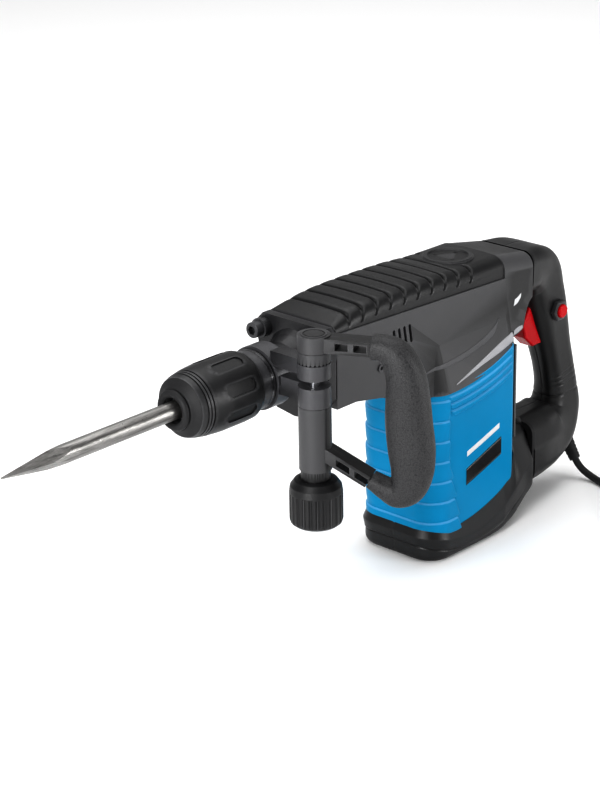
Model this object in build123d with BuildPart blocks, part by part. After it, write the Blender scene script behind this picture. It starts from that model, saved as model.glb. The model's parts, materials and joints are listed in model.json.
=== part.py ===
"""Electric demolition hammer of the L-shaped kind: the motor stands upright behind a
horizontal crank drive, and the tool rests on the flat foot of its motor housing.

Millimetres. +X runs from the chisel to the rear handle, -Y is the operator's left side
(the side with the D-shaped handle) and +Z is up. The origin is the middle of the flat foot.
"""
import os
from math import acos, cos, pi, radians, sin, tan

from build123d import *

os.makedirs("parts", exist_ok=True)

# ---- driving dimensions ------------------------------------------------------------------
AXIS_Z = 258.0  # height of the striking axis above the foot
MOUTH_X = -390.0  # mouth of the chuck
FLANGE_X = -222.0  # front face of the body's flange
BODY_X = -210.0  # front face of the gear housing
COVER_SEAM_X = 52.0  # top of the seam between body and rear cover
HANDLE_X = 109.0  # front of the rear handle's shells
CRANK_X = 14.0  # upright crankshaft
MOTOR_X = -25.0  # upright armature shaft
WALL = 3.5  # plastic walls

SHANK_R = 9.0  # chisel shank, 18 mm
CHISEL_LENGTH = 280.0
CHISEL_OUT = 207.0  # how far the chisel stands out of the mouth
POINT_TAPER = 0.154  # half diagonal gained per millimetre of the point
HOLDER_BORE = 9.05
CHISEL_TRAVEL = 8.0
BOLT_TRAVEL = 5.0  # impact bolt, between the chisel and the striker

BORE_R = 20.0  # cylinder bore
CRANK_THROW = 13.0
ROD_LENGTH = 62.0
WRIST_X = CRANK_X + CRANK_THROW - ROD_LENGTH  # wrist pin with the crank at rear dead centre
RUNNING = 0.05  # radial clearance of running fits

GEAR_MODULE = 1.0
PINION_TEETH = 11
GEAR_TEETH = 67  # (11 + 67) / 2 = 39 mm between the shafts

COLUMN_X, COLUMN_Y = -271.7, -72.7  # upright post of the side handle
COLUMN_R = 15.9
SWEEP_BACK = 26.0  # side handle's plane, degrees back from straight out
BAND_X = -267.0  # middle of the clamp on the neck
NECK_R = 26.0

CORD_D = 8.0
FLOOR_CORD_Z = CORD_D / 2
COIL_X, COIL_Y = 196.0, -200.0
COIL_TURNS_R = (32.0, 40.0, 48.0, 56.0, 64.0)  # radii of the coil's turns
COIL_LAYERS = 2

STRIKE = Axis((0, 0, AXIS_Z), (1, 0, 0))
LONG = Plane(origin=(0, 0, AXIS_Z), x_dir=(1, 0, 0), z_dir=(0, -1, 0))
SIDE = Plane(origin=(0, 0, 0), x_dir=(1, 0, 0), z_dir=(0, -1, 0))


# ---- shared helpers ----------------------------------------------------------------------
def across(x, y=0.0, z=AXIS_Z):
    """A plane square to the striking axis: local x is +Y and local y is +Z."""
    return Plane(origin=(x, y, z), x_dir=(0, 1, 0), z_dir=(1, 0, 0))


def upright(x, y=0.0):
    """A side-view plane through an upright axis, and that axis."""
    return Plane(origin=(x, y, 0), x_dir=(1, 0, 0), z_dir=(0, -1, 0)), Axis((x, y, 0), (0, 0, 1))


def face_on(plane, points):
    """A face with straight edges."""
    with BuildSketch(plane) as face:
        with BuildLine():
            Polyline(*points, close=True)
        make_face()
    return face.sketch


def turned(points, mode=Mode.ADD):
    """Revolves (x, radius) points about the striking axis."""
    revolve(face_on(LONG, points), axis=STRIKE, mode=mode)


def tube(start, end, outer, inner=0.0, mode=Mode.ADD):
    """A plain round tube or bar on the striking axis."""
    turned([(start, inner), (end, inner), (end, outer), (start, outer)], mode=mode)


def turned_up(x, y, points, mode=Mode.ADD):
    """Revolves (radius, z) points about an upright axis."""
    plane, axis = upright(x, y)
    revolve(face_on(plane, points), axis=axis, mode=mode)


def post(x, y, low, high, outer, inner=0.0, mode=Mode.ADD):
    """A plain upright tube or bar."""
    turned_up(x, y, [(inner, low), (outer, low), (outer, high), (inner, high)], mode=mode)


def block(x, y, z, mode=Mode.ADD):
    """A box between two values on each axis."""
    centre = ((x[0] + x[1]) / 2, (y[0] + y[1]) / 2, (z[0] + z[1]) / 2)
    with Locations(centre):
        Box(x[1] - x[0], y[1] - y[0], z[1] - z[0], mode=mode)


def plan_outline(z, front, rear, half, front_radius, rear_radius):
    """A rounded rectangle seen from above."""
    with BuildSketch(Plane.XY.offset(z)) as face:
        with Locations(((front + rear) / 2, 0)):
            Rectangle(rear - front, 2 * half)
        fillet(face.vertices().group_by(Axis.X)[0], front_radius)
        fillet(face.vertices().group_by(Axis.X)[-1], rear_radius)
    return face.sketch


def rounded_section(plane, width, height, radius):
    """A rounded rectangle across a limb."""
    with BuildSketch(plane) as face:
        RectangleRounded(width, height, radius)
    return face.sketch


def gear_face(plane, teeth, turn=0.0):
    """An involute gear outline with a little backlash."""
    pitch = GEAR_MODULE * teeth / 2
    base = pitch * cos(radians(20))
    root, tip = pitch - 1.2 * GEAR_MODULE, pitch + 0.95 * GEAR_MODULE
    backlash = 0.16 * GEAR_MODULE

    def half_angle(radius):
        pressure = acos(min(1.0, base / max(radius, base)))
        spread = tan(pressure) - pressure
        at_pitch = tan(radians(20)) - radians(20)
        return pi / (2 * teeth) - backlash / (2 * pitch) + at_pitch - spread

    heights = [root - 0.3, max(root, base), pitch, tip]
    flank = [(r, half_angle(r)) for r in heights]
    tooth = [(r * cos(-a), r * sin(-a)) for r, a in flank]
    tooth += [(r * cos(a), r * sin(a)) for r, a in reversed(flank)]
    with BuildSketch(plane) as face:
        Circle(root)
        with PolarLocations(0, teeth, start_angle=turn):
            with BuildLine():
                Polyline(*tooth, close=True)
            make_face()
    return face.sketch


# ---- chisel ------------------------------------------------------------------------------
CHISEL_TIP_X = MOUTH_X - CHISEL_OUT
CHISEL_END_X = CHISEL_TIP_X + CHISEL_LENGTH
LOCK_X = MOUTH_X + 46.0  # middle of the locking bodies
LOCK_LENGTH = 14.0
LOCK_LOW = 6.4  # how near the axis the locking bodies reach

with BuildPart() as chisel:
    with BuildSketch(across(CHISEL_TIP_X)):
        RegularPolygon(0.9, 4)
    with BuildSketch(across(CHISEL_TIP_X + 80)):
        RegularPolygon(0.9 + 80 * POINT_TAPER, 4)
    loft()
    with BuildSketch(across(CHISEL_TIP_X + 80)):
        RegularPolygon(0.9 + 80 * POINT_TAPER, 4)
    extrude(amount=CHISEL_LENGTH - 80)
    tube(CHISEL_TIP_X, CHISEL_END_X, SHANK_R, mode=Mode.INTERSECT)
    chamfer(chisel.faces().sort_by(Axis.X)[-1].edges(), 1.5)
    # closed pockets for the locking bodies, above and below, and two open guide flutes
    for side in (1, -1):
        reach = (AXIS_Z + side * (LOCK_LOW - 0.6), AXIS_Z + side * (SHANK_R + 1))
        block(
            (LOCK_X - LOCK_LENGTH / 2 - CHISEL_TRAVEL - 0.8, LOCK_X + LOCK_LENGTH / 2 + 0.8),
            (-4.2, 4.2),
            (min(reach), max(reach)),
            mode=Mode.SUBTRACT,
        )
        flute = (side * (SHANK_R - 2.5), side * (SHANK_R + 1))
        block(
            (CHISEL_END_X - 55, CHISEL_END_X + 1),
            (min(flute), max(flute)),
            (AXIS_Z - 2, AXIS_Z + 2),
            mode=Mode.SUBTRACT,
        )
chisel.part.label = "chisel"
export_step(chisel.part, "parts/chisel.step")

# ---- chuck -------------------------------------------------------------------------------
SLEEVE_FRONT = MOUTH_X + 12.5
SLEEVE_REAR = MOUTH_X + 93.0
RING_FRONT, RING_REAR = MOUTH_X + 95.0, MOUTH_X + 112.0
HOLDER_R = 20.0

with BuildPart() as dust_cap:
    turned(
        [
            (MOUTH_X + 3, 9.6),
            (MOUTH_X + 22, 9.6),
            (MOUTH_X + 22, 13),
            (MOUTH_X + 11.5, 13),
            (MOUTH_X + 10, 16),
            (MOUTH_X + 10, 20.3),
            (MOUTH_X + 20, 20.3),
            (MOUTH_X + 20, 23.4),
            (MOUTH_X + 12.2, 23.4),
            (MOUTH_X + 12.2, 29.2),
            (MOUTH_X + 9, 28.2),
            (MOUTH_X + 4, 22.5),
            (MOUTH_X + 1, 19),
            (MOUTH_X, 16.5),
            (MOUTH_X, 14),
            (MOUTH_X + 1, 12.5),
        ]
    )
dust_cap.part.label = "dust_cap"
export_step(dust_cap.part, "parts/dust_cap.step")

with BuildPart() as locking_sleeve:
    turned(
        [
            (SLEEVE_FRONT, 24),
            (SLEEVE_FRONT, 29.4),
            (SLEEVE_FRONT + 6, 31.4),
            (SLEEVE_FRONT + 18, 33.4),
            (SLEEVE_FRONT + 36, 34.8),
            (SLEEVE_FRONT + 66, 34.8),
            (SLEEVE_REAR - 4, 34.2),
            (SLEEVE_REAR, 32.6),
            (SLEEVE_REAR, 30.4),
            (SLEEVE_REAR - 13, 30.4),
            (SLEEVE_REAR - 13, 26),
            (LOCK_X + 10, 26),
            (LOCK_X + 10, HOLDER_R + 0.35),
            (LOCK_X - 19, HOLDER_R + 0.35),
            (LOCK_X - 19, 24),
        ]
    )
    for groove in (5.5, 9.0, 12.5):
        tube(SLEEVE_FRONT + groove, SLEEVE_FRONT + groove + 1.2, 40, 30.6, mode=Mode.SUBTRACT)
    # long oval finger flutes
    for k in range(8):
        with BuildPart(mode=Mode.PRIVATE) as flute:
            with BuildSketch(Plane(origin=(SLEEVE_FRONT + 50, 0, AXIS_Z), x_dir=(1, 0, 0))):
                SlotOverall(38, 12)
            extrude(amount=60)
            block((-500, 0), (-20, 20), (AXIS_Z, AXIS_Z + 33.2), mode=Mode.SUBTRACT)
        add(flute.part.rotate(STRIKE, 22.5 + 45 * k), mode=Mode.SUBTRACT)
locking_sleeve.part.label = "locking_sleeve"
export_step(locking_sleeve.part, "parts/locking_sleeve.step")

with BuildPart() as chuck_ring:
    tube(RING_FRONT, RING_REAR, 30, HOLDER_R + RUNNING)
    chamfer(chuck_ring.faces().sort_by(Axis.X)[-1].edges().sort_by(SortBy.LENGTH)[-1], 2)
    tube(RING_FRONT + 11, RING_FRONT + 13, 40, 28.6, mode=Mode.SUBTRACT)
chuck_ring.part.label = "chuck_ring"
export_step(chuck_ring.part, "parts/chuck_ring.step")

with BuildPart() as chuck_circlip:
    tube(RING_FRONT + 11.2, RING_FRONT + 12.8, 30.2, 28.6)
chuck_circlip.part.label = "chuck_circlip"
export_step(chuck_circlip.part, "parts/chuck_circlip.step")

HOLDER_FRONT = MOUTH_X + 12.0
HOLDER_REAR = FLANGE_X - 8.0
BOLT_STEM_R = 12.0
BOLT_STEP_X = -313.5  # where the bore widens for the impact bolt
with BuildPart() as tool_holder:
    tube(HOLDER_FRONT, HOLDER_REAR, HOLDER_R, HOLDER_BORE)
    tube(HOLDER_FRONT - 1, HOLDER_FRONT + 16, 13.4, mode=Mode.SUBTRACT)
    tube(BOLT_STEP_X, HOLDER_REAR, BOLT_STEM_R + RUNNING, mode=Mode.SUBTRACT)
    for side in (1, -1):
        reach = (AXIS_Z + side * 5, AXIS_Z + side * 21)
        block(
            (LOCK_X - LOCK_LENGTH / 2, LOCK_X + LOCK_LENGTH / 2),
            (-3.6, 3.6),
            (min(reach), max(reach)),
            mode=Mode.SUBTRACT,
        )
tool_holder.part.label = "tool_holder"
export_step(tool_holder.part, "parts/tool_holder.step")

with BuildPart() as locking_bodies:
    for side in (1, -1):
        middle = AXIS_Z + side * (LOCK_LOW + HOLDER_R - 0.1) / 2
        with Locations((LOCK_X, 0, middle)):
            Box(LOCK_LENGTH, 7.2, HOLDER_R - 0.1 - LOCK_LOW)
    fillet(locking_bodies.edges().filter_by(Axis.Z), 1.5)
locking_bodies.part.label = "locking_bodies"
export_step(locking_bodies.part, "parts/locking_bodies.step")

SPRING_START = LOCK_X + 12.0
SPRING_END = RING_FRONT - 1.0
with BuildPart() as sleeve_spring:
    with BuildLine() as coil_path:
        Helix(
            pitch=6.0,
            height=SPRING_END - SPRING_START - 2,
            radius=23.0,
            center=(SPRING_START, 0, AXIS_Z),
            direction=(1, 0, 0),
        )
    with BuildSketch(Plane(origin=coil_path.line @ 0, z_dir=coil_path.line % 0)):
        Circle(1.0)
    sweep(path=coil_path.line, is_frenet=True)
sleeve_spring.part.label = "sleeve_spring"
export_step(sleeve_spring.part, "parts/sleeve_spring.step")

# ---- neck and front flange ---------------------------------------------------------------
FLANGE_OUTLINE = [
    (-40.7, 43.5), (40.7, 43.5), (50, 34), (50, 24), (46.5, 10), (46, -30),
    (24, -52), (0, -56), (-24, -52), (-46, -30), (-46.5, 10), (-50, 24), (-50, 34),
]
FRONT_BOLTS = [(-38, 30), (38, 30), (-32, -30), (32, -30)]
with BuildPart() as barrel_housing:
    turned(
        [
            (RING_REAR, HOLDER_R),
            (RING_REAR, NECK_R - 1),
            (RING_REAR + 1, NECK_R),
            (FLANGE_X - 18, NECK_R),
            (FLANGE_X - 6, NECK_R + 5),
            (FLANGE_X, NECK_R + 9),
            (FLANGE_X + 4, NECK_R + 9),
            (FLANGE_X + 4, HOLDER_R),
        ]
    )
    extrude(face_on(across(FLANGE_X), FLANGE_OUTLINE), amount=BODY_X - 1 - FLANGE_X)
    fillet(barrel_housing.faces().sort_by(Axis.X)[-1].outer_wire().edges(), 1.0)
    tube(FLANGE_X - 1, BODY_X, HOLDER_R, mode=Mode.SUBTRACT)
    for y, z in FRONT_BOLTS:
        with BuildSketch(across(FLANGE_X + 1, y, AXIS_Z + z)):
            Circle(10)
        extrude(amount=-10)
    for y, z in FRONT_BOLTS:
        with BuildSketch(across(FLANGE_X - 10, y, AXIS_Z + z)):
            Circle(5)
        extrude(amount=40, mode=Mode.SUBTRACT)
barrel_housing.part.label = "barrel_housing"
export_step(barrel_housing.part, "parts/barrel_housing.step")

with BuildPart() as front_bolts:
    for y, z in FRONT_BOLTS:
        with BuildSketch(across(FLANGE_X - 9, y, AXIS_Z + z)):
            Circle(5)
        extrude(amount=38)
        with BuildSketch(across(FLANGE_X - 9, y, AXIS_Z + z)):
            Circle(8)
        extrude(amount=-10)
        with BuildSketch(across(FLANGE_X - 20, y, AXIS_Z + z)):
            RegularPolygon(4.6, 6)
        extrude(amount=6, mode=Mode.SUBTRACT)
    chamfer(front_bolts.faces().group_by(Axis.X)[0].edges().filter_by(GeomType.CIRCLE), 0.8)
front_bolts.part.label = "front_bolts"
export_step(front_bolts.part, "parts/front_bolts.step")

with BuildPart() as flange_gasket:
    extrude(face_on(across(BODY_X - 1), [(y * 0.97, z * 0.98) for y, z in FLANGE_OUTLINE]), amount=1)
    tube(BODY_X - 2, BODY_X + 1, 28, mode=Mode.SUBTRACT)
    for y, z in FRONT_BOLTS:
        with BuildSketch(across(BODY_X - 2, y, AXIS_Z + z)):
            Circle(5)
        extrude(amount=4, mode=Mode.SUBTRACT)
flange_gasket.part.label = "flange_gasket"
export_step(flange_gasket.part, "parts/flange_gasket.step")

# ---- striking mechanism ------------------------------------------------------------------
CYLINDER_R = 24.0
CYLINDER_FRONT, CYLINDER_REAR = -206.0, -24.0
BOLT_REAR = -171.5
BOLT_NOSE = CHISEL_END_X + CHISEL_TRAVEL + BOLT_TRAVEL + 0.5
with BuildPart() as impact_bolt:
    turned(
        [
            (BOLT_NOSE, 0),
            (BOLT_NOSE, 10.5),
            (BOLT_NOSE + 1.5, BOLT_STEM_R),
            (HOLDER_REAR + 10, BOLT_STEM_R),
            (HOLDER_REAR + 10, 18),
            (HOLDER_REAR + 22, 18),
            (HOLDER_REAR + 26, 14),
            (BOLT_REAR, 14),
            (BOLT_REAR, 0),
        ]
    )
impact_bolt.part.label = "impact_bolt"
export_step(impact_bolt.part, "parts/impact_bolt.step")

STRIKER_FRONT, STRIKER_LENGTH = -171.0, 40.0
with BuildPart() as striker:
    tube(STRIKER_FRONT, STRIKER_FRONT + STRIKER_LENGTH, BORE_R - RUNNING)
    chamfer(striker.edges(), 1.0)
    for groove in (12, 24):
        start = STRIKER_FRONT + groove
        tube(start, start + 3, BORE_R + 1, BORE_R - 2.5, mode=Mode.SUBTRACT)
striker.part.label = "striker"
export_step(striker.part, "parts/striker.step")

with BuildPart() as cylinder:
    tube(CYLINDER_FRONT, CYLINDER_REAR, CYLINDER_R, BORE_R)
    for k in range(6):
        with BuildSketch(Plane.XY.offset(AXIS_Z)):
            with Locations((-112, 0)):
                Circle(2)
        extrude(amount=30, mode=Mode.SUBTRACT, dir=(0, sin(radians(60 * k)), cos(radians(60 * k))))
cylinder.part.label = "cylinder"
export_step(cylinder.part, "parts/cylinder.step")

PISTON_FRONT, PISTON_REAR = WRIST_X - 22.0, WRIST_X + 11.0
ROD_HALF = 6.0
with BuildPart() as piston:
    tube(PISTON_FRONT, PISTON_REAR, BORE_R - RUNNING)
    tube(PISTON_FRONT + 5, PISTON_FRONT + 8, BORE_R + 1, BORE_R - 2.5, mode=Mode.SUBTRACT)
    block((WRIST_X - 10, PISTON_REAR + 1), (-14, 14), (AXIS_Z - 7, AXIS_Z + 7), mode=Mode.SUBTRACT)
    post(WRIST_X, 0, AXIS_Z - 30, AXIS_Z + 30, 5, mode=Mode.SUBTRACT)
piston.part.label = "piston"
export_step(piston.part, "parts/piston.step")

with BuildPart() as piston_seal:
    tube(PISTON_FRONT + 5.2, PISTON_FRONT + 7.8, BORE_R - RUNNING / 2, BORE_R - 2.5)
piston_seal.part.label = "piston_seal"
export_step(piston_seal.part, "parts/piston_seal.step")

with BuildPart() as wrist_pin:
    post(WRIST_X, 0, AXIS_Z - 18, AXIS_Z + 18, 5)
wrist_pin.part.label = "wrist_pin"
export_step(wrist_pin.part, "parts/wrist_pin.step")

with BuildPart() as connecting_rod:
    with BuildSketch(Plane.XY.offset(AXIS_Z - ROD_HALF)):
        with BuildLine():
            Polyline(
                (WRIST_X, -7), (WRIST_X + ROD_LENGTH, -9),
                (WRIST_X + ROD_LENGTH, 9), (WRIST_X, 7), close=True,
            )
        make_face()
        with Locations((WRIST_X, 0)):
            Circle(8.5)
        with Locations((WRIST_X + ROD_LENGTH, 0)):
            Circle(13.5)
    extrude(amount=2 * ROD_HALF)
    post(WRIST_X, 0, AXIS_Z - 20, AXIS_Z + 20, 5 + RUNNING, mode=Mode.SUBTRACT)
    post(WRIST_X + ROD_LENGTH, 0, AXIS_Z - 20, AXIS_Z + 20, 8, mode=Mode.SUBTRACT)
    with BuildSketch(Plane.XY.offset(AXIS_Z + ROD_HALF)):
        with Locations((WRIST_X + ROD_LENGTH / 2 - 3, 0)):
            SlotOverall(30, 7)
    extrude(amount=-2.5, mode=Mode.SUBTRACT)
connecting_rod.part.label = "connecting_rod"
export_step(connecting_rod.part, "parts/connecting_rod.step")

# ---- crank drive -------------------------------------------------------------------------
CRANK_BEARING_TOPS = (AXIS_Z - 21.5, AXIS_Z - 50.0)
CRANK_BEARING_T = 11.0
GEAR_LOW, GEAR_HIGH = AXIS_Z - 45.0, AXIS_Z - 35.0
CRANK_SHAFT_R = 9.0
with BuildPart() as crankshaft:
    post(CRANK_X, 0, CRANK_BEARING_TOPS[1] - CRANK_BEARING_T, AXIS_Z - 15, CRANK_SHAFT_R)
    with BuildSketch(Plane.XY.offset(AXIS_Z - 20.5)):
        with Locations((CRANK_X, 0)):
            Circle(24)
    extrude(amount=12)
    # the crank pin, which the rod's needle bearing runs on
    post(CRANK_X + CRANK_THROW, 0, AXIS_Z - 12, AXIS_Z - ROD_HALF - 0.5, 7)
crankshaft.part.label = "crankshaft"
export_step(crankshaft.part, "parts/crankshaft.step")

with BuildPart() as crank_gear:
    extrude(gear_face(Plane(origin=(CRANK_X, 0, GEAR_LOW)), GEAR_TEETH), amount=GEAR_HIGH - GEAR_LOW)
    post(CRANK_X, 0, GEAR_LOW - 1, GEAR_HIGH + 1, CRANK_SHAFT_R, mode=Mode.SUBTRACT)
    post(CRANK_X, 0, GEAR_HIGH - 3, GEAR_HIGH + 1, 28, 14, mode=Mode.SUBTRACT)
crank_gear.part.label = "crank_gear"
export_step(crank_gear.part, "parts/crank_gear.step")

with BuildPart() as crank_bearings:
    for top in CRANK_BEARING_TOPS:
        low = top - CRANK_BEARING_T
        post(CRANK_X, 0, low, top, 17, CRANK_SHAFT_R + RUNNING)
        for face_z in (low, top - 0.8):
            post(CRANK_X, 0, face_z, face_z + 0.8, 15, 11, mode=Mode.SUBTRACT)
crank_bearings.part.label = "crank_bearings"
export_step(crank_bearings.part, "parts/crank_bearings.step")

CASE_FRONT, CASE_REAR = -46.0, 54.0
CASE_HALF = 40.0
CASE_TOP, CASE_LOW = AXIS_Z + 34.0, AXIS_Z - 64.0
MOTOR_BEARING_R, MOTOR_SHAFT_R = 13.0, 5.0
UPPER_MOTOR_BEARING = AXIS_Z - 63.5
LOWER_MOTOR_BEARING = 44.0
MOTOR_BEARING_T = 9.0
with BuildPart() as crank_case:
    tube(BODY_X + WALL, CASE_FRONT + 1, CYLINDER_R + 7)
    block((CASE_FRONT, CASE_REAR), (-CASE_HALF, CASE_HALF), (CASE_LOW, CASE_TOP))
    fillet(crank_case.edges().filter_by(Axis.Z), 6)
    for rib_x in (-180, -150, -120, -90):
        tube(rib_x, rib_x + 4, CYLINDER_R + 11, CYLINDER_R + 4)
    tube(BODY_X, CYLINDER_REAR, CYLINDER_R, mode=Mode.SUBTRACT)
    block((CYLINDER_REAR - 1, 46), (-34, 34), (AXIS_Z - 21.5, AXIS_Z + 30), mode=Mode.SUBTRACT)
    post(CRANK_X, 0, AXIS_Z - 47, AXIS_Z - 33, 37, mode=Mode.SUBTRACT)
    post(MOTOR_X, 0, AXIS_Z - 47, AXIS_Z - 31, 9, mode=Mode.SUBTRACT)
    for top in CRANK_BEARING_TOPS:
        post(CRANK_X, 0, top - CRANK_BEARING_T, top, 17, mode=Mode.SUBTRACT)
    post(CRANK_X, 0, AXIS_Z - 51, AXIS_Z - 20, 12, mode=Mode.SUBTRACT)
    post(MOTOR_X, 0, AXIS_Z - 70, UPPER_MOTOR_BEARING + MOTOR_BEARING_T, MOTOR_BEARING_R,
         mode=Mode.SUBTRACT)
    post(MOTOR_X, 0, AXIS_Z - 70, AXIS_Z - 40, 7, mode=Mode.SUBTRACT)
    # open top, closed by the crank cap's grease chamber
    post(CRANK_X, 0, AXIS_Z + 25, AXIS_Z + 40, 23.2, mode=Mode.SUBTRACT)
crank_case.part.label = "crank_case"
export_step(crank_case.part, "parts/crank_case.step")

# ---- motor -------------------------------------------------------------------------------
CORE_LOW, CORE_HIGH = 98.0, 152.0
CORE_R = 24.5
with BuildPart() as armature_shaft:
    post(MOTOR_X, 0, LOWER_MOTOR_BEARING, AXIS_Z - 46, MOTOR_SHAFT_R)
    extrude(gear_face(Plane(origin=(MOTOR_X, 0, AXIS_Z - 46)), PINION_TEETH), amount=13)
armature_shaft.part.label = "armature_shaft"
export_step(armature_shaft.part, "parts/armature_shaft.step")

with BuildPart() as armature_core:
    post(MOTOR_X, 0, CORE_LOW, CORE_HIGH, CORE_R, MOTOR_SHAFT_R)
    with BuildSketch(Plane.XY.offset(CORE_LOW)):
        with Locations((MOTOR_X, 0)):
            with PolarLocations(CORE_R, 16):
                Rectangle(8, 2.2)
    extrude(amount=CORE_HIGH - CORE_LOW, mode=Mode.SUBTRACT)
armature_core.part.label = "armature_core"
export_step(armature_core.part, "parts/armature_core.step")

with BuildPart() as armature_windings:
    for low, high in ((CORE_LOW - 12, CORE_LOW), (CORE_HIGH, CORE_HIGH + 12)):
        post(MOTOR_X, 0, low, high, 20, MOTOR_SHAFT_R)
    fillet(armature_windings.faces().sort_by(Axis.Z)[0].edges().sort_by(SortBy.LENGTH)[-1], 4)
    fillet(armature_windings.faces().sort_by(Axis.Z)[-1].edges().sort_by(SortBy.LENGTH)[-1], 4)
armature_windings.part.label = "armature_windings"
export_step(armature_windings.part, "parts/armature_windings.step")

COMMUTATOR_LOW, COMMUTATOR_HIGH, COMMUTATOR_R = 60.0, 84.0, 14.0
with BuildPart() as commutator:
    post(MOTOR_X, 0, COMMUTATOR_LOW, COMMUTATOR_HIGH, COMMUTATOR_R, MOTOR_SHAFT_R)
    with BuildSketch(Plane.XY.offset(COMMUTATOR_LOW)):
        with Locations((MOTOR_X, 0)):
            with PolarLocations(COMMUTATOR_R, 24):
                Rectangle(2.4, 0.6)
    extrude(amount=COMMUTATOR_HIGH - COMMUTATOR_LOW, mode=Mode.SUBTRACT)
commutator.part.label = "commutator"
export_step(commutator.part, "parts/commutator.step")

FAN_LOW, FAN_R = 166.0, 37.0
with BuildPart() as motor_fan:
    post(MOTOR_X, 0, FAN_LOW, FAN_LOW + 3, FAN_R, MOTOR_SHAFT_R)
    post(MOTOR_X, 0, FAN_LOW, FAN_LOW + 14, 10, MOTOR_SHAFT_R)
    with BuildSketch(Plane.XY.offset(FAN_LOW + 3)):
        with Locations((MOTOR_X, 0)):
            with PolarLocations(24, 12, rotate=True):
                Rectangle(22, 1.8, rotation=35)
    extrude(amount=11)
motor_fan.part.label = "motor_fan"
export_step(motor_fan.part, "parts/motor_fan.step")

with BuildPart() as motor_bearings:
    for low in (LOWER_MOTOR_BEARING, UPPER_MOTOR_BEARING):
        post(MOTOR_X, 0, low, low + MOTOR_BEARING_T, MOTOR_BEARING_R, MOTOR_SHAFT_R + RUNNING)
        post(MOTOR_X, 0, low, low + 0.8, 11, 7, mode=Mode.SUBTRACT)
motor_bearings.part.label = "motor_bearings"
export_step(motor_bearings.part, "parts/motor_bearings.step")

STATOR_R = 40.0
with BuildPart() as stator:
    post(MOTOR_X, 0, CORE_LOW, CORE_HIGH, STATOR_R, 25.4)
    for side in (1, -1):
        # pockets beside the poles, for the field coils
        with BuildSketch(Plane.XY.offset(CORE_LOW)):
            with Locations((MOTOR_X, side * 28)):
                Rectangle(30, 12)
        extrude(amount=CORE_HIGH - CORE_LOW, mode=Mode.SUBTRACT)
stator.part.label = "stator"
export_step(stator.part, "parts/stator.step")

with BuildPart() as field_coils:
    for side in (1, -1):
        for low, high in ((CORE_LOW - 9, CORE_LOW - 0.2), (CORE_HIGH + 0.2, CORE_HIGH + 9)):
            with BuildSketch(Plane.XY.offset(low)):
                with Locations((MOTOR_X, side * 31)):
                    RectangleRounded(44, 9, 3)
            extrude(amount=high - low)
        with BuildSketch(Plane.XY.offset(CORE_LOW - 5)):
            with Locations((MOTOR_X - 12, side * 30.5), (MOTOR_X + 12, side * 30.5)):
                Rectangle(5.6, 6.6)
        extrude(amount=CORE_HIGH - CORE_LOW + 10)
field_coils.part.label = "field_coils"
export_step(field_coils.part, "parts/field_coils.step")

BRUSH_Z = (COMMUTATOR_LOW + COMMUTATOR_HIGH) / 2
with BuildPart() as brush_holders:
    for side in (1, -1):
        span = (side * 18, side * 47)
        block((MOTOR_X - 6.5, MOTOR_X + 6.5), (min(span), max(span)), (BRUSH_Z - 9, BRUSH_Z + 9))
        block((MOTOR_X - 4, MOTOR_X + 4), (min(span) - 1, max(span) + 1),
              (BRUSH_Z - 6, BRUSH_Z + 6), mode=Mode.SUBTRACT)
brush_holders.part.label = "brush_holders"
export_step(brush_holders.part, "parts/brush_holders.step")

with BuildPart() as carbon_brushes:
    for side in (1, -1):
        span = (side * (COMMUTATOR_R + 0.3), side * 32)
        block((MOTOR_X - 3.9, MOTOR_X + 3.9), (min(span), max(span)), (BRUSH_Z - 5.9, BRUSH_Z + 5.9))
carbon_brushes.part.label = "carbon_brushes"
export_step(carbon_brushes.part, "parts/carbon_brushes.step")

# ---- gear housing and its cover ----------------------------------------------------------
COVER_FRONT_Z, COVER_REAR_Z = AXIS_Z + 36.6, AXIS_Z + 26.4  # cover's lower edge, front and rear
BODY_HALF = 46.0
MOTOR_FRONT, MOTOR_REAR, MOTOR_HALF = -70.0, 66.0, 53.0
SEAM = [(COVER_SEAM_X, COVER_REAR_Z), (57, 258), (63, 228), (69, 208)]
BODY_BELLY = [(-80, 190), (-145, 210), (-182, 217), (BODY_X, 217)]
BORDER = [(66, 207), (24, 193.5), (-25, 186.5), (-72, 187.5)]  # black body to blue housing

with BuildSketch(SIDE) as body_side:
    with BuildLine():
        Polyline((BODY_X, COVER_FRONT_Z), *SEAM, BORDER[0])
        Spline(*BORDER)
        Polyline(BORDER[-1], *BODY_BELLY, (BODY_X, COVER_FRONT_Z))
    make_face()

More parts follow.
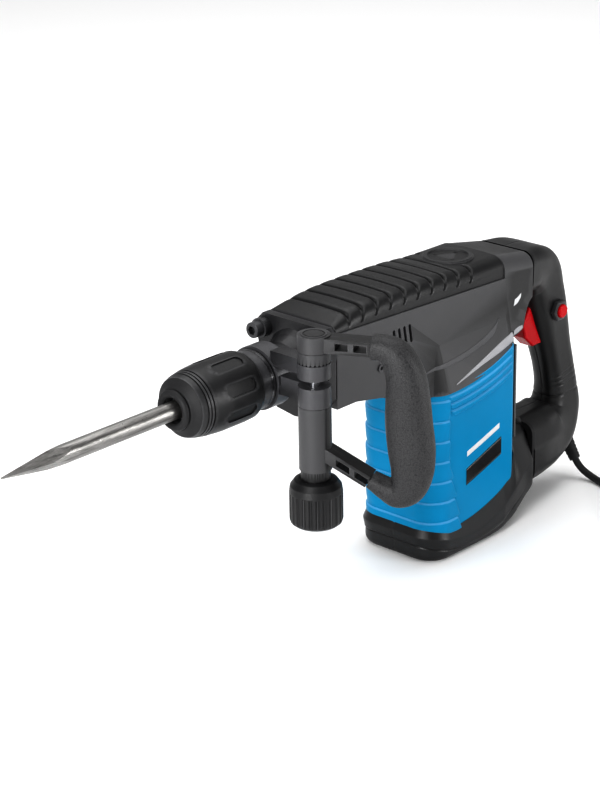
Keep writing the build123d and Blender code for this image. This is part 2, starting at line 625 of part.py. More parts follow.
with BuildPart() as gear_housing:
    extrude(body_side.sketch, amount=BODY_HALF, both=True)
    # the skirt spreads to the motor housing's width
    loft([
        plan_outline(186, MOTOR_FRONT - 2, 69, MOTOR_HALF, 26, 6),
        plan_outline(240, MOTOR_FRONT - 4, 60.5, BODY_HALF, 20, 6),
    ])
    extrude(body_side.sketch, amount=80, both=True, mode=Mode.INTERSECT)
    block((BODY_X + WALL, CASE_REAR + 30), (-42.5, 42.5), (221, 320), mode=Mode.SUBTRACT)
    extrude(
        plan_outline(150, MOTOR_FRONT + WALL, 80, MOTOR_HALF - WALL - 6, 22, 3),
        amount=75,
        mode=Mode.SUBTRACT,
    )
    tube(BODY_X - 1, BODY_X + 6, 28, mode=Mode.SUBTRACT)
    for y, z in FRONT_BOLTS:
        with BuildSketch(across(BODY_X - 1, y, AXIS_Z + z)):
            Circle(5)
        extrude(amount=30, mode=Mode.SUBTRACT)
    # slanted cooling slots on both sides
    for k in range(4):
        with BuildSketch(SIDE):
            with Locations((-124 + 8 * k, 266)):
                SlotOverall(20, 3.6, rotation=100)
        extrude(amount=60, both=True, mode=Mode.SUBTRACT)
    # long shallow groove under the cover's edge
    for side in (1, -1):
        with BuildSketch(Plane(origin=(0, side * BODY_HALF, 0), x_dir=(1, 0, 0), z_dir=(0, -side, 0))):
            with BuildLine():
                Polyline((-112, 281.5), (38, 275.5), (38, 279.5), (-112, 286), close=True)
            make_face()
        extrude(amount=1.2, mode=Mode.SUBTRACT)
gear_housing.part.label = "gear_housing"
export_step(gear_housing.part, "parts/gear_housing.step")

COVER_HALF = 44.5
RIB_PITCH = 21.0
RIB_FIRST, RIB_COUNT = -186.0, 9
CROWN = [
    (BODY_X, AXIS_Z + 44), (BODY_X + 28, AXIS_Z + 52), (-140, AXIS_Z + 55),
    (-60, AXIS_Z + 54), (-7, AXIS_Z + 50.5), (COVER_SEAM_X, AXIS_Z + 49.5),
]


def cover_outline(inset):
    """Side view of the top cover, shrunk by the wall for its hollow."""
    with BuildSketch(SIDE) as face:
        with BuildLine():
            Spline(*[(x, z - inset) for x, z in CROWN])
            Polyline((COVER_SEAM_X, CROWN[-1][1] - inset), (COVER_SEAM_X, COVER_REAR_Z),
                     (BODY_X, COVER_FRONT_Z), (BODY_X, CROWN[0][1] - inset))
        make_face()
    return face.sketch


CAP_R = 27.0
CAP_TOP = AXIS_Z + 54.0
with BuildPart() as top_cover:
    extrude(cover_outline(0), amount=COVER_HALF, both=True)
    crown_edges = top_cover.faces().sort_by(Axis.Z)[-1].edges().filter_by(GeomType.BSPLINE)
    fillet(crown_edges, 13)
    extrude(cover_outline(4), amount=COVER_HALF - WALL - 1, both=True, mode=Mode.SUBTRACT)
    # the front wall, which the hollow leaves open
    block((BODY_X, BODY_X + 3), (-40, 40), (COVER_FRONT_Z, AXIS_Z + 41))
    # notches between the transverse ribs
    for k in range(RIB_COUNT + 1):
        x = RIB_FIRST + RIB_PITCH * k
        z = AXIS_Z + 55 if x < -60 else AXIS_Z + 53
        with BuildSketch(SIDE):
            with BuildLine():
                Polyline((x - 4.5, z + 2), (x + 1.2, z - 3.2), (x + 2.8, z + 2), close=True)
            make_face()
        extrude(amount=COVER_HALF + 2, both=True, mode=Mode.SUBTRACT)
    post(CRANK_X, 0, CAP_TOP - 8, CAP_TOP + 10, CAP_R + 0.4, mode=Mode.SUBTRACT)
    post(CRANK_X, 0, AXIS_Z + 30, AXIS_Z + 60, 23.2, mode=Mode.SUBTRACT)
top_cover.part.label = "top_cover"
export_step(top_cover.part, "parts/top_cover.step")

with BuildPart() as crank_cap:
    turned_up(
        CRANK_X, 0,
        [
            (0, CAP_TOP - 3), (CAP_R - 7, CAP_TOP - 3), (CAP_R - 5, CAP_TOP - 1.5),
            (CAP_R - 1.5, CAP_TOP - 1.5), (CAP_R, CAP_TOP - 3), (CAP_R, CAP_TOP - 7.8),
            (23, CAP_TOP - 7.8), (23, AXIS_Z + 30.5), (20, AXIS_Z + 30.5),
            (20, CAP_TOP - 7), (0, CAP_TOP - 7),
        ],
    )
    # three blind key holes for the pin spanner
    with BuildSketch(Plane.XY.offset(CAP_TOP - 3)):
        with Locations((CRANK_X, 0)):
            with PolarLocations(13, 3):
                Circle(2.4)
    extrude(amount=-2.5, mode=Mode.SUBTRACT)
crank_cap.part.label = "crank_cap"
export_step(crank_cap.part, "parts/crank_cap.step")

# ---- motor housing, spine and base -------------------------------------------------------
FOOT_EDGE = [(-72, 37), (-43, 34), (-26, 34), (7, 39), (41, 50), (58, 62), (65, 82), (67, 99)]
RIB_LEVELS = [60 + 20 * k for k in range(6)]

with BuildSketch(SIDE) as motor_side:
    with BuildLine():
        Spline(*FOOT_EDGE)
        Polyline(FOOT_EDGE[-1], (67, 207.2))
        Line((67, 207.2), BORDER[0])
        Spline(*BORDER)
        Line(BORDER[-1], FOOT_EDGE[0])
    make_face()

with BuildPart() as motor_housing:
    extrude(plan_outline(30, MOTOR_FRONT, MOTOR_REAR, MOTOR_HALF, 26, 8), amount=180)
    # horizontal ribs on the front, wrapping round both corners
    for k, level in enumerate(RIB_LEVELS):
        rib_end = -34.0 - 5.0 * k  # the lower ribs reach further round
        with BuildPart(mode=Mode.PRIVATE) as rib:
            extrude(plan_outline(level, MOTOR_FRONT - 2, 20, MOTOR_HALF + 1.6, 27, 4),
                    amount=13, taper=5)
            block((rib_end, 30), (-80, 80), (level - 1, level + 14), mode=Mode.SUBTRACT)
        add(rib.part)
    extrude(motor_side.sketch, amount=80, both=True, mode=Mode.INTERSECT)
    extrude(
        plan_outline(20, MOTOR_FRONT + WALL, MOTOR_REAR - WALL, MOTOR_HALF - WALL, 23, 5),
        amount=200,
        mode=Mode.SUBTRACT,
    )
    # floor with the lower bearing's seat and air openings
    extrude(
        plan_outline(50, MOTOR_FRONT + WALL, 30, MOTOR_HALF - WALL, 23, 3), amount=4
    )
    post(MOTOR_X, 0, 42, 54, MOTOR_BEARING_R + 4)
    post(MOTOR_X, 0, LOWER_MOTOR_BEARING, 60, MOTOR_BEARING_R, mode=Mode.SUBTRACT)
    with BuildSketch(Plane.XY.offset(40)):
        with Locations((MOTOR_X, 0)):
            with PolarLocations(29, 8, start_angle=22.5):
                Circle(6)
    extrude(amount=20, mode=Mode.SUBTRACT)
motor_housing.part.label = "motor_housing"
export_step(motor_housing.part, "parts/motor_housing.step")

SPINE_REAR = 71.0
LIMB_TOP = 103.0
with BuildPart() as rear_spine:
    block((MOTOR_REAR, SPINE_REAR), (-50, 50), (LIMB_TOP, 207))
    fillet(rear_spine.faces().sort_by(Axis.X)[-1].edges().filter_by(Axis.Z), 3.5)
rear_spine.part.label = "rear_spine"
export_step(rear_spine.part, "parts/rear_spine.step")

BASE_FRONT, BASE_HALF = -74.0, 55.0
LIMB_JOINT_X = 115.0
LIMB_HALF = 41.0
with BuildPart() as base_cap:
    with BuildSketch(SIDE):
        with BuildLine():
            Polyline((BASE_FRONT, 38), (BASE_FRONT, 0), (62, 0), (78, 9), (103, 20),
                     (LIMB_JOINT_X, 25), (LIMB_JOINT_X, LIMB_TOP), (67, LIMB_TOP), FOOT_EDGE[-1])
            Spline(*reversed(FOOT_EDGE))
            Line(FOOT_EDGE[0], (BASE_FRONT, 38))
        make_face()
    extrude(amount=BASE_HALF, both=True)
    with BuildSketch(Plane.XY):
        with BuildLine():
            Polyline((BASE_FRONT, BASE_HALF), (46, BASE_HALF), (LIMB_JOINT_X, LIMB_HALF),
                     (LIMB_JOINT_X, -LIMB_HALF), (46, -BASE_HALF), (BASE_FRONT, -BASE_HALF), close=True)
        make_face()
        fillet(vertices().group_by(Axis.X)[0], 28)
        fillet(vertices().sort_by(Axis.X)[4:6], 60)
    extrude(amount=LIMB_TOP, mode=Mode.INTERSECT)
    limb_edges = base_cap.edges().filter_by(GeomType.LINE).filter_by_position(
        Axis.Z, LIMB_TOP - 0.1, LIMB_TOP + 0.1).filter_by_position(Axis.X, 80, 112)
    fillet(limb_edges, 16)
    fillet(base_cap.edges().filter_by_position(Axis.Z, -0.1, 0.1), 8)
    # hollow under the motor, open upwards, and along the limb
    extrude(plan_outline(4, BASE_FRONT + 5, 58, BASE_HALF - 5, 22, 3), amount=60, mode=Mode.SUBTRACT)
    block((50, LIMB_JOINT_X + 1), (-34, 34), (30, LIMB_TOP - 9), mode=Mode.SUBTRACT)
    screw_spots = [(x, y) for x in (-46, 44) for y in (-36, 36)]
    for x, y in screw_spots:
        post(x, y, 4, 20, 7)
        post(x, y, -1, 30, 2.2, mode=Mode.SUBTRACT)
        post(x, y, -1, 5, 4.4, mode=Mode.SUBTRACT)
base_cap.part.label = "base_cap"
export_step(base_cap.part, "parts/base_cap.step")

# ---- rear cover and rear handle ----------------------------------------------------------
COVER_END_X = HANDLE_X - 4.0
UPPER_LIMB_Z, UPPER_LIMB_DEPTH = 273.5, 47.0  # joint between rear cover and handle
HEEL = [(88, 219), (94, 238), (100, 246.5), (COVER_END_X + 1, 250)]  # lower rear edge


def above_heel(front_points, drop):
    """Everything over the rear cover's lower edge, in the side view, lowered by the drop."""
    heel = [(x + drop, z - drop) for x, z in HEEL]
    with BuildSketch(SIDE) as area:
        with BuildLine():
            Polyline(heel[-1], (heel[-1][0], 340), *front_points, heel[0])
            Spline(*heel)
        make_face()
    return area.sketch


with BuildPart() as rear_cover:
    with BuildPart(mode=Mode.PRIVATE) as cover_hollow:
        loft([
            rounded_section(across(40, 0, 258.5), 85, 93, 11.5),
            rounded_section(across(110, 0, 250.7), 77, 85.5, 11.5),
        ])
        extrude(above_heel([(30, 340), (30, 212)], -WALL), amount=80, both=True,
                mode=Mode.INTERSECT)
    loft([
        rounded_section(across(48, 0, 258.5), 92, 98, 15),
        rounded_section(across(COVER_END_X, 0, 251.2), 84, 92.5, 15),
    ])
    extrude(above_heel([(COVER_SEAM_X, 340), *SEAM], 0), amount=80, both=True,
            mode=Mode.INTERSECT)
    add(cover_hollow.part, mode=Mode.SUBTRACT)
    with BuildSketch(across(COVER_END_X - WALL - 1, 0, UPPER_LIMB_Z)):
        Rectangle(66, 32)
    extrude(amount=10, mode=Mode.SUBTRACT)
rear_cover.part.label = "rear_cover"
export_step(rear_cover.part, "parts/rear_cover.step")

with BuildPart() as handle_isolators:
    upper = across(COVER_END_X, 0, UPPER_LIMB_Z)
    extrude(rounded_section(upper, 76, UPPER_LIMB_DEPTH - 4, 11), amount=4)
    extrude(rounded_section(upper, 64, UPPER_LIMB_DEPTH - 16, 6), amount=4, mode=Mode.SUBTRACT)
    limb = across(LIMB_JOINT_X, 0, 64)
    extrude(rounded_section(limb, 76, 70, 13), amount=4)
    extrude(rounded_section(limb, 62, 56, 9), amount=4, mode=Mode.SUBTRACT)
handle_isolators.part.label = "handle_isolators"
export_step(handle_isolators.part, "parts/handle_isolators.step")

# stations along the handle, from the upper joint round the grip to the lower limb:
# x, z, width, depth, corner radius
HANDLE_STATIONS = [
    (HANDLE_X, UPPER_LIMB_Z, 80, UPPER_LIMB_DEPTH, 14),
    (134, 270, 73, 50, 15), (157, 256, 62, 60, 17), (170, 230, 52, 58, 18),
    (179, 206, 46, 54, 17), (187, 184, 41, 51, 16), (194, 162, 37, 47.5, 15),
    (200, 138, 36, 47, 15), (205, 112, 39, 49, 16), (204, 88, 45, 58, 17),
    (190, 70, 55, 68, 18), (168, 64.5, 65, 72, 18), (143, 64, 73, 74, 17),
    (LIMB_JOINT_X + 4, 64, 78, 74, 16),
]


def handle_sections(inset, stretch=0.0):
    """Rounded cross-sections square to the handle's path, shrunk by the inset on all sides."""
    sections = []
    last = len(HANDLE_STATIONS) - 1
    for i, (x, z, width, depth, corner) in enumerate(HANDLE_STATIONS):
        before = HANDLE_STATIONS[max(i - 1, 0)]
        after = HANDLE_STATIONS[min(i + 1, last)]
        along = Vector(after[0] - before[0], 0, after[1] - before[1])
        if i in (0, last):
            along = Vector(1 if i == 0 else -1, 0, 0)  # the ends meet the body squarely
        shift = -stretch if i == 0 else stretch if i == last else 0.0
        centre = Vector(x, 0, z) + along.normalized() * shift
        plane = Plane(origin=centre, x_dir=(0, 1, 0), z_dir=along)
        sections.append(rounded_section(plane, width - 2 * inset, depth - 2 * inset,
                                        corner - inset))
    return sections


with BuildPart() as handle_body:
    loft(handle_sections(0), ruled=True)
    loft(handle_sections(WALL, stretch=1.0), ruled=True, mode=Mode.SUBTRACT)

TRIGGER_TRAVEL = 6.0
TRIGGER_OUTLINE = [(146, 226), (131, 203), (136, 186), (150, 173), (168, 173), (168, 226)]
TRIGGER_HALF = 10.0
BUTTON_X, BUTTON_Z, BUTTON_R = 175.0, 212.0, 7.5
STRAIN_TOP = Vector(214, 0, 60)
STRAIN_END = Vector(218, -21, 22)
STRAIN_DIR = (STRAIN_END - STRAIN_TOP).normalized()

with BuildPart() as trigger_slot:
    block((120, 168 + TRIGGER_TRAVEL + 1), (-TRIGGER_HALF - 0.5, TRIGGER_HALF + 0.5), (172, 227))
with BuildPart() as strain_hole:
    with BuildSketch(Plane(origin=STRAIN_TOP - STRAIN_DIR * 4, z_dir=STRAIN_DIR)):
        Circle(9.5)
    extrude(amount=40)


def handle_half(side):
    """One shell of the rear handle: side -1 is the operator's left."""
    with BuildPart() as half:
        add(handle_body.part)
        split(bisect_by=Plane.XZ, keep=Keep.TOP if side < 0 else Keep.BOTTOM)
        add(trigger_slot.part, mode=Mode.SUBTRACT)
        add(strain_hole.part, mode=Mode.SUBTRACT)
    return half


with BuildPart() as handle_left:
    add(handle_half(-1).part)
    # hole and hexagonal seat of the lock button
    with BuildSketch(Plane(origin=(BUTTON_X, -23.5, BUTTON_Z), x_dir=(1, 0, 0), z_dir=(0, -1, 0))):
        RegularPolygon(12.2, 6)
    extrude(amount=20, mode=Mode.SUBTRACT)
    with BuildSketch(Plane(origin=(BUTTON_X, -10, BUTTON_Z), x_dir=(1, 0, 0), z_dir=(0, -1, 0))):
        Circle(BUTTON_R + 0.4)
    extrude(amount=20, mode=Mode.SUBTRACT)
handle_left.part.label = "handle_left"
export_step(handle_left.part, "parts/handle_left.step")

with BuildPart() as handle_right:
    add(handle_half(1).part)
handle_right.part.label = "handle_right"
export_step(handle_right.part, "parts/handle_right.step")

with BuildPart() as trigger:
    extrude(face_on(SIDE, TRIGGER_OUTLINE), amount=TRIGGER_HALF, both=True)
    fillet(trigger.faces().sort_by(Axis.Y)[0].edges().filter_by_position(Axis.X, 125, 160), 2.5)
    fillet(trigger.faces().sort_by(Axis.Y)[-1].edges().filter_by_position(Axis.X, 125, 160), 2.5)
trigger.part.label = "trigger"
export_step(trigger.part, "parts/trigger.step")

with BuildPart() as switch_block:
    block((176, 198), (-11, 11), (176, 214))
    fillet(switch_block.edges().filter_by(Axis.Y), 2)
switch_block.part.label = "switch_block"
export_step(switch_block.part, "parts/switch_block.step")

button_plane = Plane(origin=(BUTTON_X, -16, BUTTON_Z), x_dir=(1, 0, 0), z_dir=(0, -1, 0))
with BuildPart() as lock_button:
    with BuildSketch(button_plane):
        Circle(BUTTON_R)
    extrude(amount=16)
    fillet(lock_button.faces().sort_by(Axis.Y)[0].edges(), 2)
lock_button.part.label = "lock_button"
export_step(lock_button.part, "parts/lock_button.step")

with BuildPart() as lock_bezel:
    with BuildSketch(Plane(origin=(BUTTON_X, -23.5, BUTTON_Z), x_dir=(1, 0, 0), z_dir=(0, -1, 0))):
        RegularPolygon(12.1, 6)
        Circle(BUTTON_R + 0.4, mode=Mode.SUBTRACT)
    extrude(amount=5.5)
    chamfer(lock_bezel.faces().sort_by(Axis.Y)[0].edges().filter_by(GeomType.LINE), 1.2)
lock_bezel.part.label = "lock_bezel"
export_step(lock_bezel.part, "parts/lock_bezel.step")

with BuildPart() as casing_screws:
    # the screws that hold the two sides of the gear housing
    for side in (1, -1):
        head = Plane(origin=(-146, side * BODY_HALF, 242), x_dir=(1, 0, 0), z_dir=(0, side, 0))
        with BuildSketch(head):
            Circle(4)
        extrude(amount=1.6)
        with BuildSketch(head.offset(0.4)):
            RegularPolygon(2.1, 6)
        extrude(amount=2, mode=Mode.SUBTRACT)
casing_screws.part.label = "casing_screws"
export_step(casing_screws.part, "parts/casing_screws.step")

with BuildPart() as base_screws:
    for x, y in screw_spots:
        post(x, y, 1.4, 4.9, 4.3)
        post(x, y, 4.8, 19, 2.2)
        post(x, y, 1.3, 3.4, 2, mode=Mode.SUBTRACT)
base_screws.part.label = "base_screws"
export_step(base_screws.part, "parts/base_screws.step")

with BuildPart() as strain_relief:
    with BuildSketch(Plane(origin=STRAIN_TOP, z_dir=STRAIN_DIR)):
        Circle(9.4)
    with BuildSketch(Plane(origin=STRAIN_END, z_dir=STRAIN_DIR)):
        Circle(6.2)
    loft()
    for k in range(5):
        spot = STRAIN_TOP + STRAIN_DIR * (18 + 4.6 * k)
        with BuildSketch(Plane(origin=spot, z_dir=STRAIN_DIR)):
            Circle(12)
            Circle(7.5 - 0.35 * k, mode=Mode.SUBTRACT)
        extrude(amount=1.4, mode=Mode.SUBTRACT)
strain_relief.part.label = "strain_relief"
export_step(strain_relief.part, "parts/strain_relief.step")

# ---- side handle -------------------------------------------------------------------------
ROD_R = 5.0
ROD_HOLE = ROD_R + 0.3
CLAMP_UPPER = (AXIS_Z + 18, AXIS_Z + 33)
CLAMP_LOWER = (AXIS_Z - 10, AXIS_Z + 10)
BAND_HALF = 10.0
BAND_OUTER = NECK_R + 6.0
for upper in (True, False):
    low, high = CLAMP_UPPER if upper else CLAMP_LOWER
    with BuildPart() as clamp_half:
        tube(BAND_X - BAND_HALF, BAND_X + BAND_HALF, BAND_OUTER)
        cut = (AXIS_Z - 40, AXIS_Z) if upper else (AXIS_Z, AXIS_Z + 40)
        block((-300, -240), (-50, 50), cut, mode=Mode.SUBTRACT)
        # arm from the band to the eye round the post
        block((BAND_X - 9, BAND_X + 9), (COLUMN_Y, -20), (low if upper else low + 1, high))
        post(COLUMN_X, COLUMN_Y, low, high, COLUMN_R)
        tube(BAND_X - 20, BAND_X + 20, NECK_R + RUNNING, mode=Mode.SUBTRACT)
        post(COLUMN_X, COLUMN_Y, low - 1, high + 1, ROD_HOLE, mode=Mode.SUBTRACT)
        if not upper:
            block((-300, -240), (-58, 60), (AXIS_Z, AXIS_Z + 40), mode=Mode.SUBTRACT)
            block((BAND_X - 9, BAND_X + 9), (COLUMN_Y + 12, -BAND_OUTER - 1), (AXIS_Z - 9, high))
    if upper:
        clamp_upper = clamp_half
    else:
        clamp_lower = clamp_half
clamp_upper.part.label = "clamp_upper"
export_step(clamp_upper.part, "parts/clamp_upper.step")
clamp_lower.part.label = "clamp_lower"
export_step(clamp_lower.part, "parts/clamp_lower.step")

SPACER = (AXIS_Z + 33, AXIS_Z + 45)
with BuildPart() as clamp_spacer:
    post(COLUMN_X, COLUMN_Y, SPACER[0] + 0.4, SPACER[1] - 0.4, COLUMN_R, ROD_HOLE)
    # locking teeth against the clamp
    with BuildSketch(Plane.XY.offset(SPACER[0] + 0.4)):
        with Locations((COLUMN_X, COLUMN_Y)):
            with PolarLocations(14, 24):
                Rectangle(5, 1.6)
    extrude(amount=1.2, mode=Mode.SUBTRACT)
clamp_spacer.part.label = "clamp_spacer"
export_step(clamp_spacer.part, "parts/clamp_spacer.step")

SIDE_DIR = (sin(radians(SWEEP_BACK)), -cos(radians(SWEEP_BACK)))  # from the post to the grip
BRACKET = Plane(origin=(COLUMN_X, COLUMN_Y, AXIS_Z), x_dir=(SIDE_DIR[0], SIDE_DIR[1], 0),
                z_dir=(SIDE_DIR[1], -SIDE_DIR[0], 0))  # local x outwards, local y up
ARM_HALF = 10.0
ARM_END = 57.0
UPPER_ARM = (46.0, 60.0)
POST_LOW, POST_HIGH = AXIS_Z - 75, AXIS_Z - 10.4
LOWER_SLOPE = radians(28.5)
LOWER_DROP = tan(LOWER_SLOPE)
ARM_DEPTH = 14.0 * cos(LOWER_SLOPE)  # lower arm, square to its slope
LOWER_END_TOP = (ARM_END, -44 - LOWER_DROP * ARM_END)
LOWER_END_LOW = (ARM_END - ARM_DEPTH * sin(LOWER_SLOPE),
                 LOWER_END_TOP[1] - ARM_DEPTH * cos(LOWER_SLOPE))
GRIP_OUT = 95.0
GRIP_TOP = 53.0
CORE_BAR_R = 6.0
with BuildLine(BRACKET) as grip_path:
    FilletPolyline(
        (ARM_END, GRIP_TOP), (GRIP_OUT, GRIP_TOP),
        (GRIP_OUT, LOWER_END_TOP[1] / 2 + LOWER_END_LOW[1] / 2
         - LOWER_DROP * (GRIP_OUT - ARM_END / 2 - LOWER_END_LOW[0] / 2)),
        ((ARM_END + LOWER_END_LOW[0]) / 2, (LOWER_END_TOP[1] + LOWER_END_LOW[1]) / 2),
        radius=24,
    )
with BuildPart() as handle_bracket:
    post(COLUMN_X, COLUMN_Y, AXIS_Z + 45, AXIS_Z + 61, COLUMN_R)
    post(COLUMN_X, COLUMN_Y, POST_LOW, POST_HIGH, COLUMN_R)
    extrude(
        face_on(BRACKET, [(0, UPPER_ARM[0]), (ARM_END, UPPER_ARM[0]), (ARM_END, UPPER_ARM[1]),
                          (0, UPPER_ARM[1])]),
        amount=ARM_HALF, both=True,
    )
    extrude(face_on(BRACKET, [(0, -44), LOWER_END_TOP, LOWER_END_LOW, (0, -58)]),
            amount=ARM_HALF, both=True)
    # two windows through each arm
    for k, start in enumerate((23, 41)):
        extrude(face_on(BRACKET, [(start, 49.5), (start + 12.5, 49.5), (start + 12.5, 56.5),
                                  (start, 56.5)]),
                amount=ARM_HALF + 2, both=True, mode=Mode.SUBTRACT)
        top = -47.8 - LOWER_DROP * start
        extrude(face_on(BRACKET, [(start, top), (start + 13, top - LOWER_DROP * 13),
                                  (start + 13, top - 6.6 - LOWER_DROP * 13), (start, top - 6.6)]),
                amount=ARM_HALF + 2, both=True, mode=Mode.SUBTRACT)
    post(COLUMN_X, COLUMN_Y, POST_LOW - 1, AXIS_Z + 59.2, ROD_R, mode=Mode.SUBTRACT)
    post(COLUMN_X, COLUMN_Y, AXIS_Z + 59, AXIS_Z + 62, 12.5, mode=Mode.SUBTRACT)
    # the core bar that carries the grip from arm to arm
    with BuildSketch(Plane(origin=grip_path.line @ 0, z_dir=grip_path.line % 0)):
        Circle(CORE_BAR_R)
    sweep(path=grip_path.line)
handle_bracket.part.label = "handle_bracket"
export_step(handle_bracket.part, "parts/handle_bracket.step")

with BuildPart() as side_grip:
    with BuildSketch(Plane(origin=grip_path.line @ 0, x_dir=(0, 0, 1), z_dir=grip_path.line % 0)):
        Ellipse(13, 14)
    with BuildSketch(Plane(origin=grip_path.line @ 0.5, x_dir=(SIDE_DIR[0], SIDE_DIR[1], 0),
                           z_dir=(0, 0, -1))):
        Ellipse(20, 17)
    with BuildSketch(Plane(origin=grip_path.line @ 1, x_dir=(0, 0, 1), z_dir=grip_path.line % 1)):
        Ellipse(13, 14)
    sweep(path=grip_path.line, multisection=True)
    with BuildSketch(Plane(origin=grip_path.line @ 0, z_dir=grip_path.line % 0)):
        Circle(CORE_BAR_R)
    sweep(path=grip_path.line, mode=Mode.SUBTRACT)
side_grip.part.label = "side_grip"
export_step(side_grip.part, "parts/side_grip.step")

with BuildPart() as column_disc:
    post(COLUMN_X, COLUMN_Y, AXIS_Z + 59.2, AXIS_Z + 61.6, 12.4)
    post(COLUMN_X, COLUMN_Y, AXIS_Z + 61, AXIS_Z + 62, 10.5, 9.5, mode=Mode.SUBTRACT)
column_disc.part.label = "column_disc"
export_step(column_disc.part, "parts/column_disc.step")

KNOB_LOW, KNOB_HIGH, KNOB_R = AXIS_Z - 132, AXIS_Z - 85, 26.0
with BuildPart() as clamp_rod:
    post(COLUMN_X, COLUMN_Y, KNOB_LOW + 14, AXIS_Z + 59.2, ROD_R)
clamp_rod.part.label = "clamp_rod"
export_step(clamp_rod.part, "parts/clamp_rod.step")

with BuildPart() as handle_knob:
    turned_up(
        COLUMN_X, COLUMN_Y,
        [
            (ROD_HOLE - 0.25, KNOB_LOW + 12), (0, KNOB_LOW + 12), (0, KNOB_LOW),
            (KNOB_R - 4, KNOB_LOW), (KNOB_R - 1, KNOB_LOW + 2.5), (KNOB_R, KNOB_LOW + 6),
            (KNOB_R, KNOB_HIGH - 13), (KNOB_R - 1, KNOB_HIGH - 7), (KNOB_R - 5, KNOB_HIGH - 1.5),
            (KNOB_R - 9, KNOB_HIGH), (14.5, KNOB_HIGH), (14.5, POST_LOW - 0.4),
            (ROD_HOLE - 0.25, POST_LOW - 0.4),
        ],
    )
    with BuildSketch(Plane.XY.offset(KNOB_LOW - 1)):
        with Locations((COLUMN_X, COLUMN_Y)):
            with PolarLocations(KNOB_R + 0.6, 24):
                Circle(1.8)
    extrude(amount=KNOB_HIGH - 13 - KNOB_LOW, mode=Mode.SUBTRACT)
handle_knob.part.label = "handle_knob"
export_step(handle_knob.part, "parts/handle_knob.step")

# ---- mains lead --------------------------------------------------------------------------
ROUTE = [
    tuple(STRAIN_END),
    tuple(STRAIN_END + STRAIN_DIR * 11),
    (219.5, -46.0, FLOOR_CORD_Z),
    (212.0, -71.0, FLOOR_CORD_Z),
    (191.0, -92.0, FLOOR_CORD_Z),
    (164.0, -112.0, FLOOR_CORD_Z),
    (143.0, -138.0, FLOOR_CORD_Z),
    (132.0, -160.0, FLOOR_CORD_Z),
    (132.0, -178.5, FLOOR_CORD_Z),
]


def arc_radii(points):
    """Tangent arcs as large as the two runs at each corner allow."""
    radii = []
    for before, corner, after in zip(points, points[1:], points[2:]):
        first, second = Vector(corner) - Vector(before), Vector(after) - Vector(corner)
        half_turn = radians(first.get_angle(second)) / 2
        radii.append(0.45 * min(first.length, second.length) / tan(half_turn))
    return radii


ROUTE_RADII = arc_radii(ROUTE)
with BuildPart() as mains_cord:
    with BuildLine() as cord_path:
        FilletPolyline(*ROUTE, radius=ROUTE_RADII)
    with BuildSketch(Plane(origin=cord_path.line @ 0, z_dir=cord_path.line % 0)):
        Circle(CORD_D / 2)
    sweep(path=cord_path.line)
mains_cord.part.label = "mains_cord"
export_step(mains_cord.part, "parts/mains_cord.step")

with BuildPart() as cord_coil:
    post(COIL_X, COIL_Y, 0, CORD_D * COIL_LAYERS, COIL_TURNS_R[-1] + CORD_D / 2,
         COIL_TURNS_R[0] - CORD_D / 2)
    fillet(cord_coil.edges(), 3)
cord_coil.part.label = "cord_coil"
export_step(cord_coil.part, "parts/cord_coil.step")

PLUG_X, PLUG_Z = COIL_X + COIL_TURNS_R[-1], 12.0
with BuildPart() as plug:
    for y, radius in ((-174, 4.6), (-146, 8.5)):
        with BuildSketch(Plane.XZ.offset(-y)):
            with Locations((PLUG_X, PLUG_Z)):
                Circle(radius)
    loft()
    with BuildSketch(Plane.XZ.offset(146)):
        with Locations((PLUG_X, PLUG_Z)):
            RectangleRounded(26, 22, 9)
    with BuildSketch(Plane.XZ.offset(128)):
        with Locations((PLUG_X, PLUG_Z)):
            RectangleRounded(37, 24, 11)
    loft()
    with BuildSketch(Plane.XZ.offset(128)):
        with Locations((PLUG_X, PLUG_Z)):
            RectangleRounded(37, 24, 11)
    extrude(amount=-18)
    with BuildSketch(Plane.XZ.offset(110.2)):
        with Locations((PLUG_X - 9.5, PLUG_Z), (PLUG_X + 9.5, PLUG_Z)):
            Circle(2.4)
    extrude(amount=-19)
plug.part.label = "plug"
export_step(plug.part, "parts/plug.step")
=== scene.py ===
import json
import math

import bmesh
import bpy
import numpy as np
from mathutils import Matrix, Vector


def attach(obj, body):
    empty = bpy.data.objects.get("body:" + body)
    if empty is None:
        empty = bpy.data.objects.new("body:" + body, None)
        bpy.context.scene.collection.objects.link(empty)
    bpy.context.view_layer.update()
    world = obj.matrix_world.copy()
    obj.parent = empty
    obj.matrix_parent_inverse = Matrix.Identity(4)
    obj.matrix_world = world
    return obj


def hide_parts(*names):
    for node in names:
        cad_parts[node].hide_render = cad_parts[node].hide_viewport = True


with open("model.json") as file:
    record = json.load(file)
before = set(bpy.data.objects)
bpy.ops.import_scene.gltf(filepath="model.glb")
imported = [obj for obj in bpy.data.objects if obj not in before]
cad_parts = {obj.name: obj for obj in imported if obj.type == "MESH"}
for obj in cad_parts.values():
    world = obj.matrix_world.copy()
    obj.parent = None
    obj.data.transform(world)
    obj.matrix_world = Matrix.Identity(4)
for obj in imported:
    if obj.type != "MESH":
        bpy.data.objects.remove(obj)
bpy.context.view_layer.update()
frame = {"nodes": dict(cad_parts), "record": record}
MM = 0.001
AXIS_Z = 258.0  # striking axis above the foot, mm


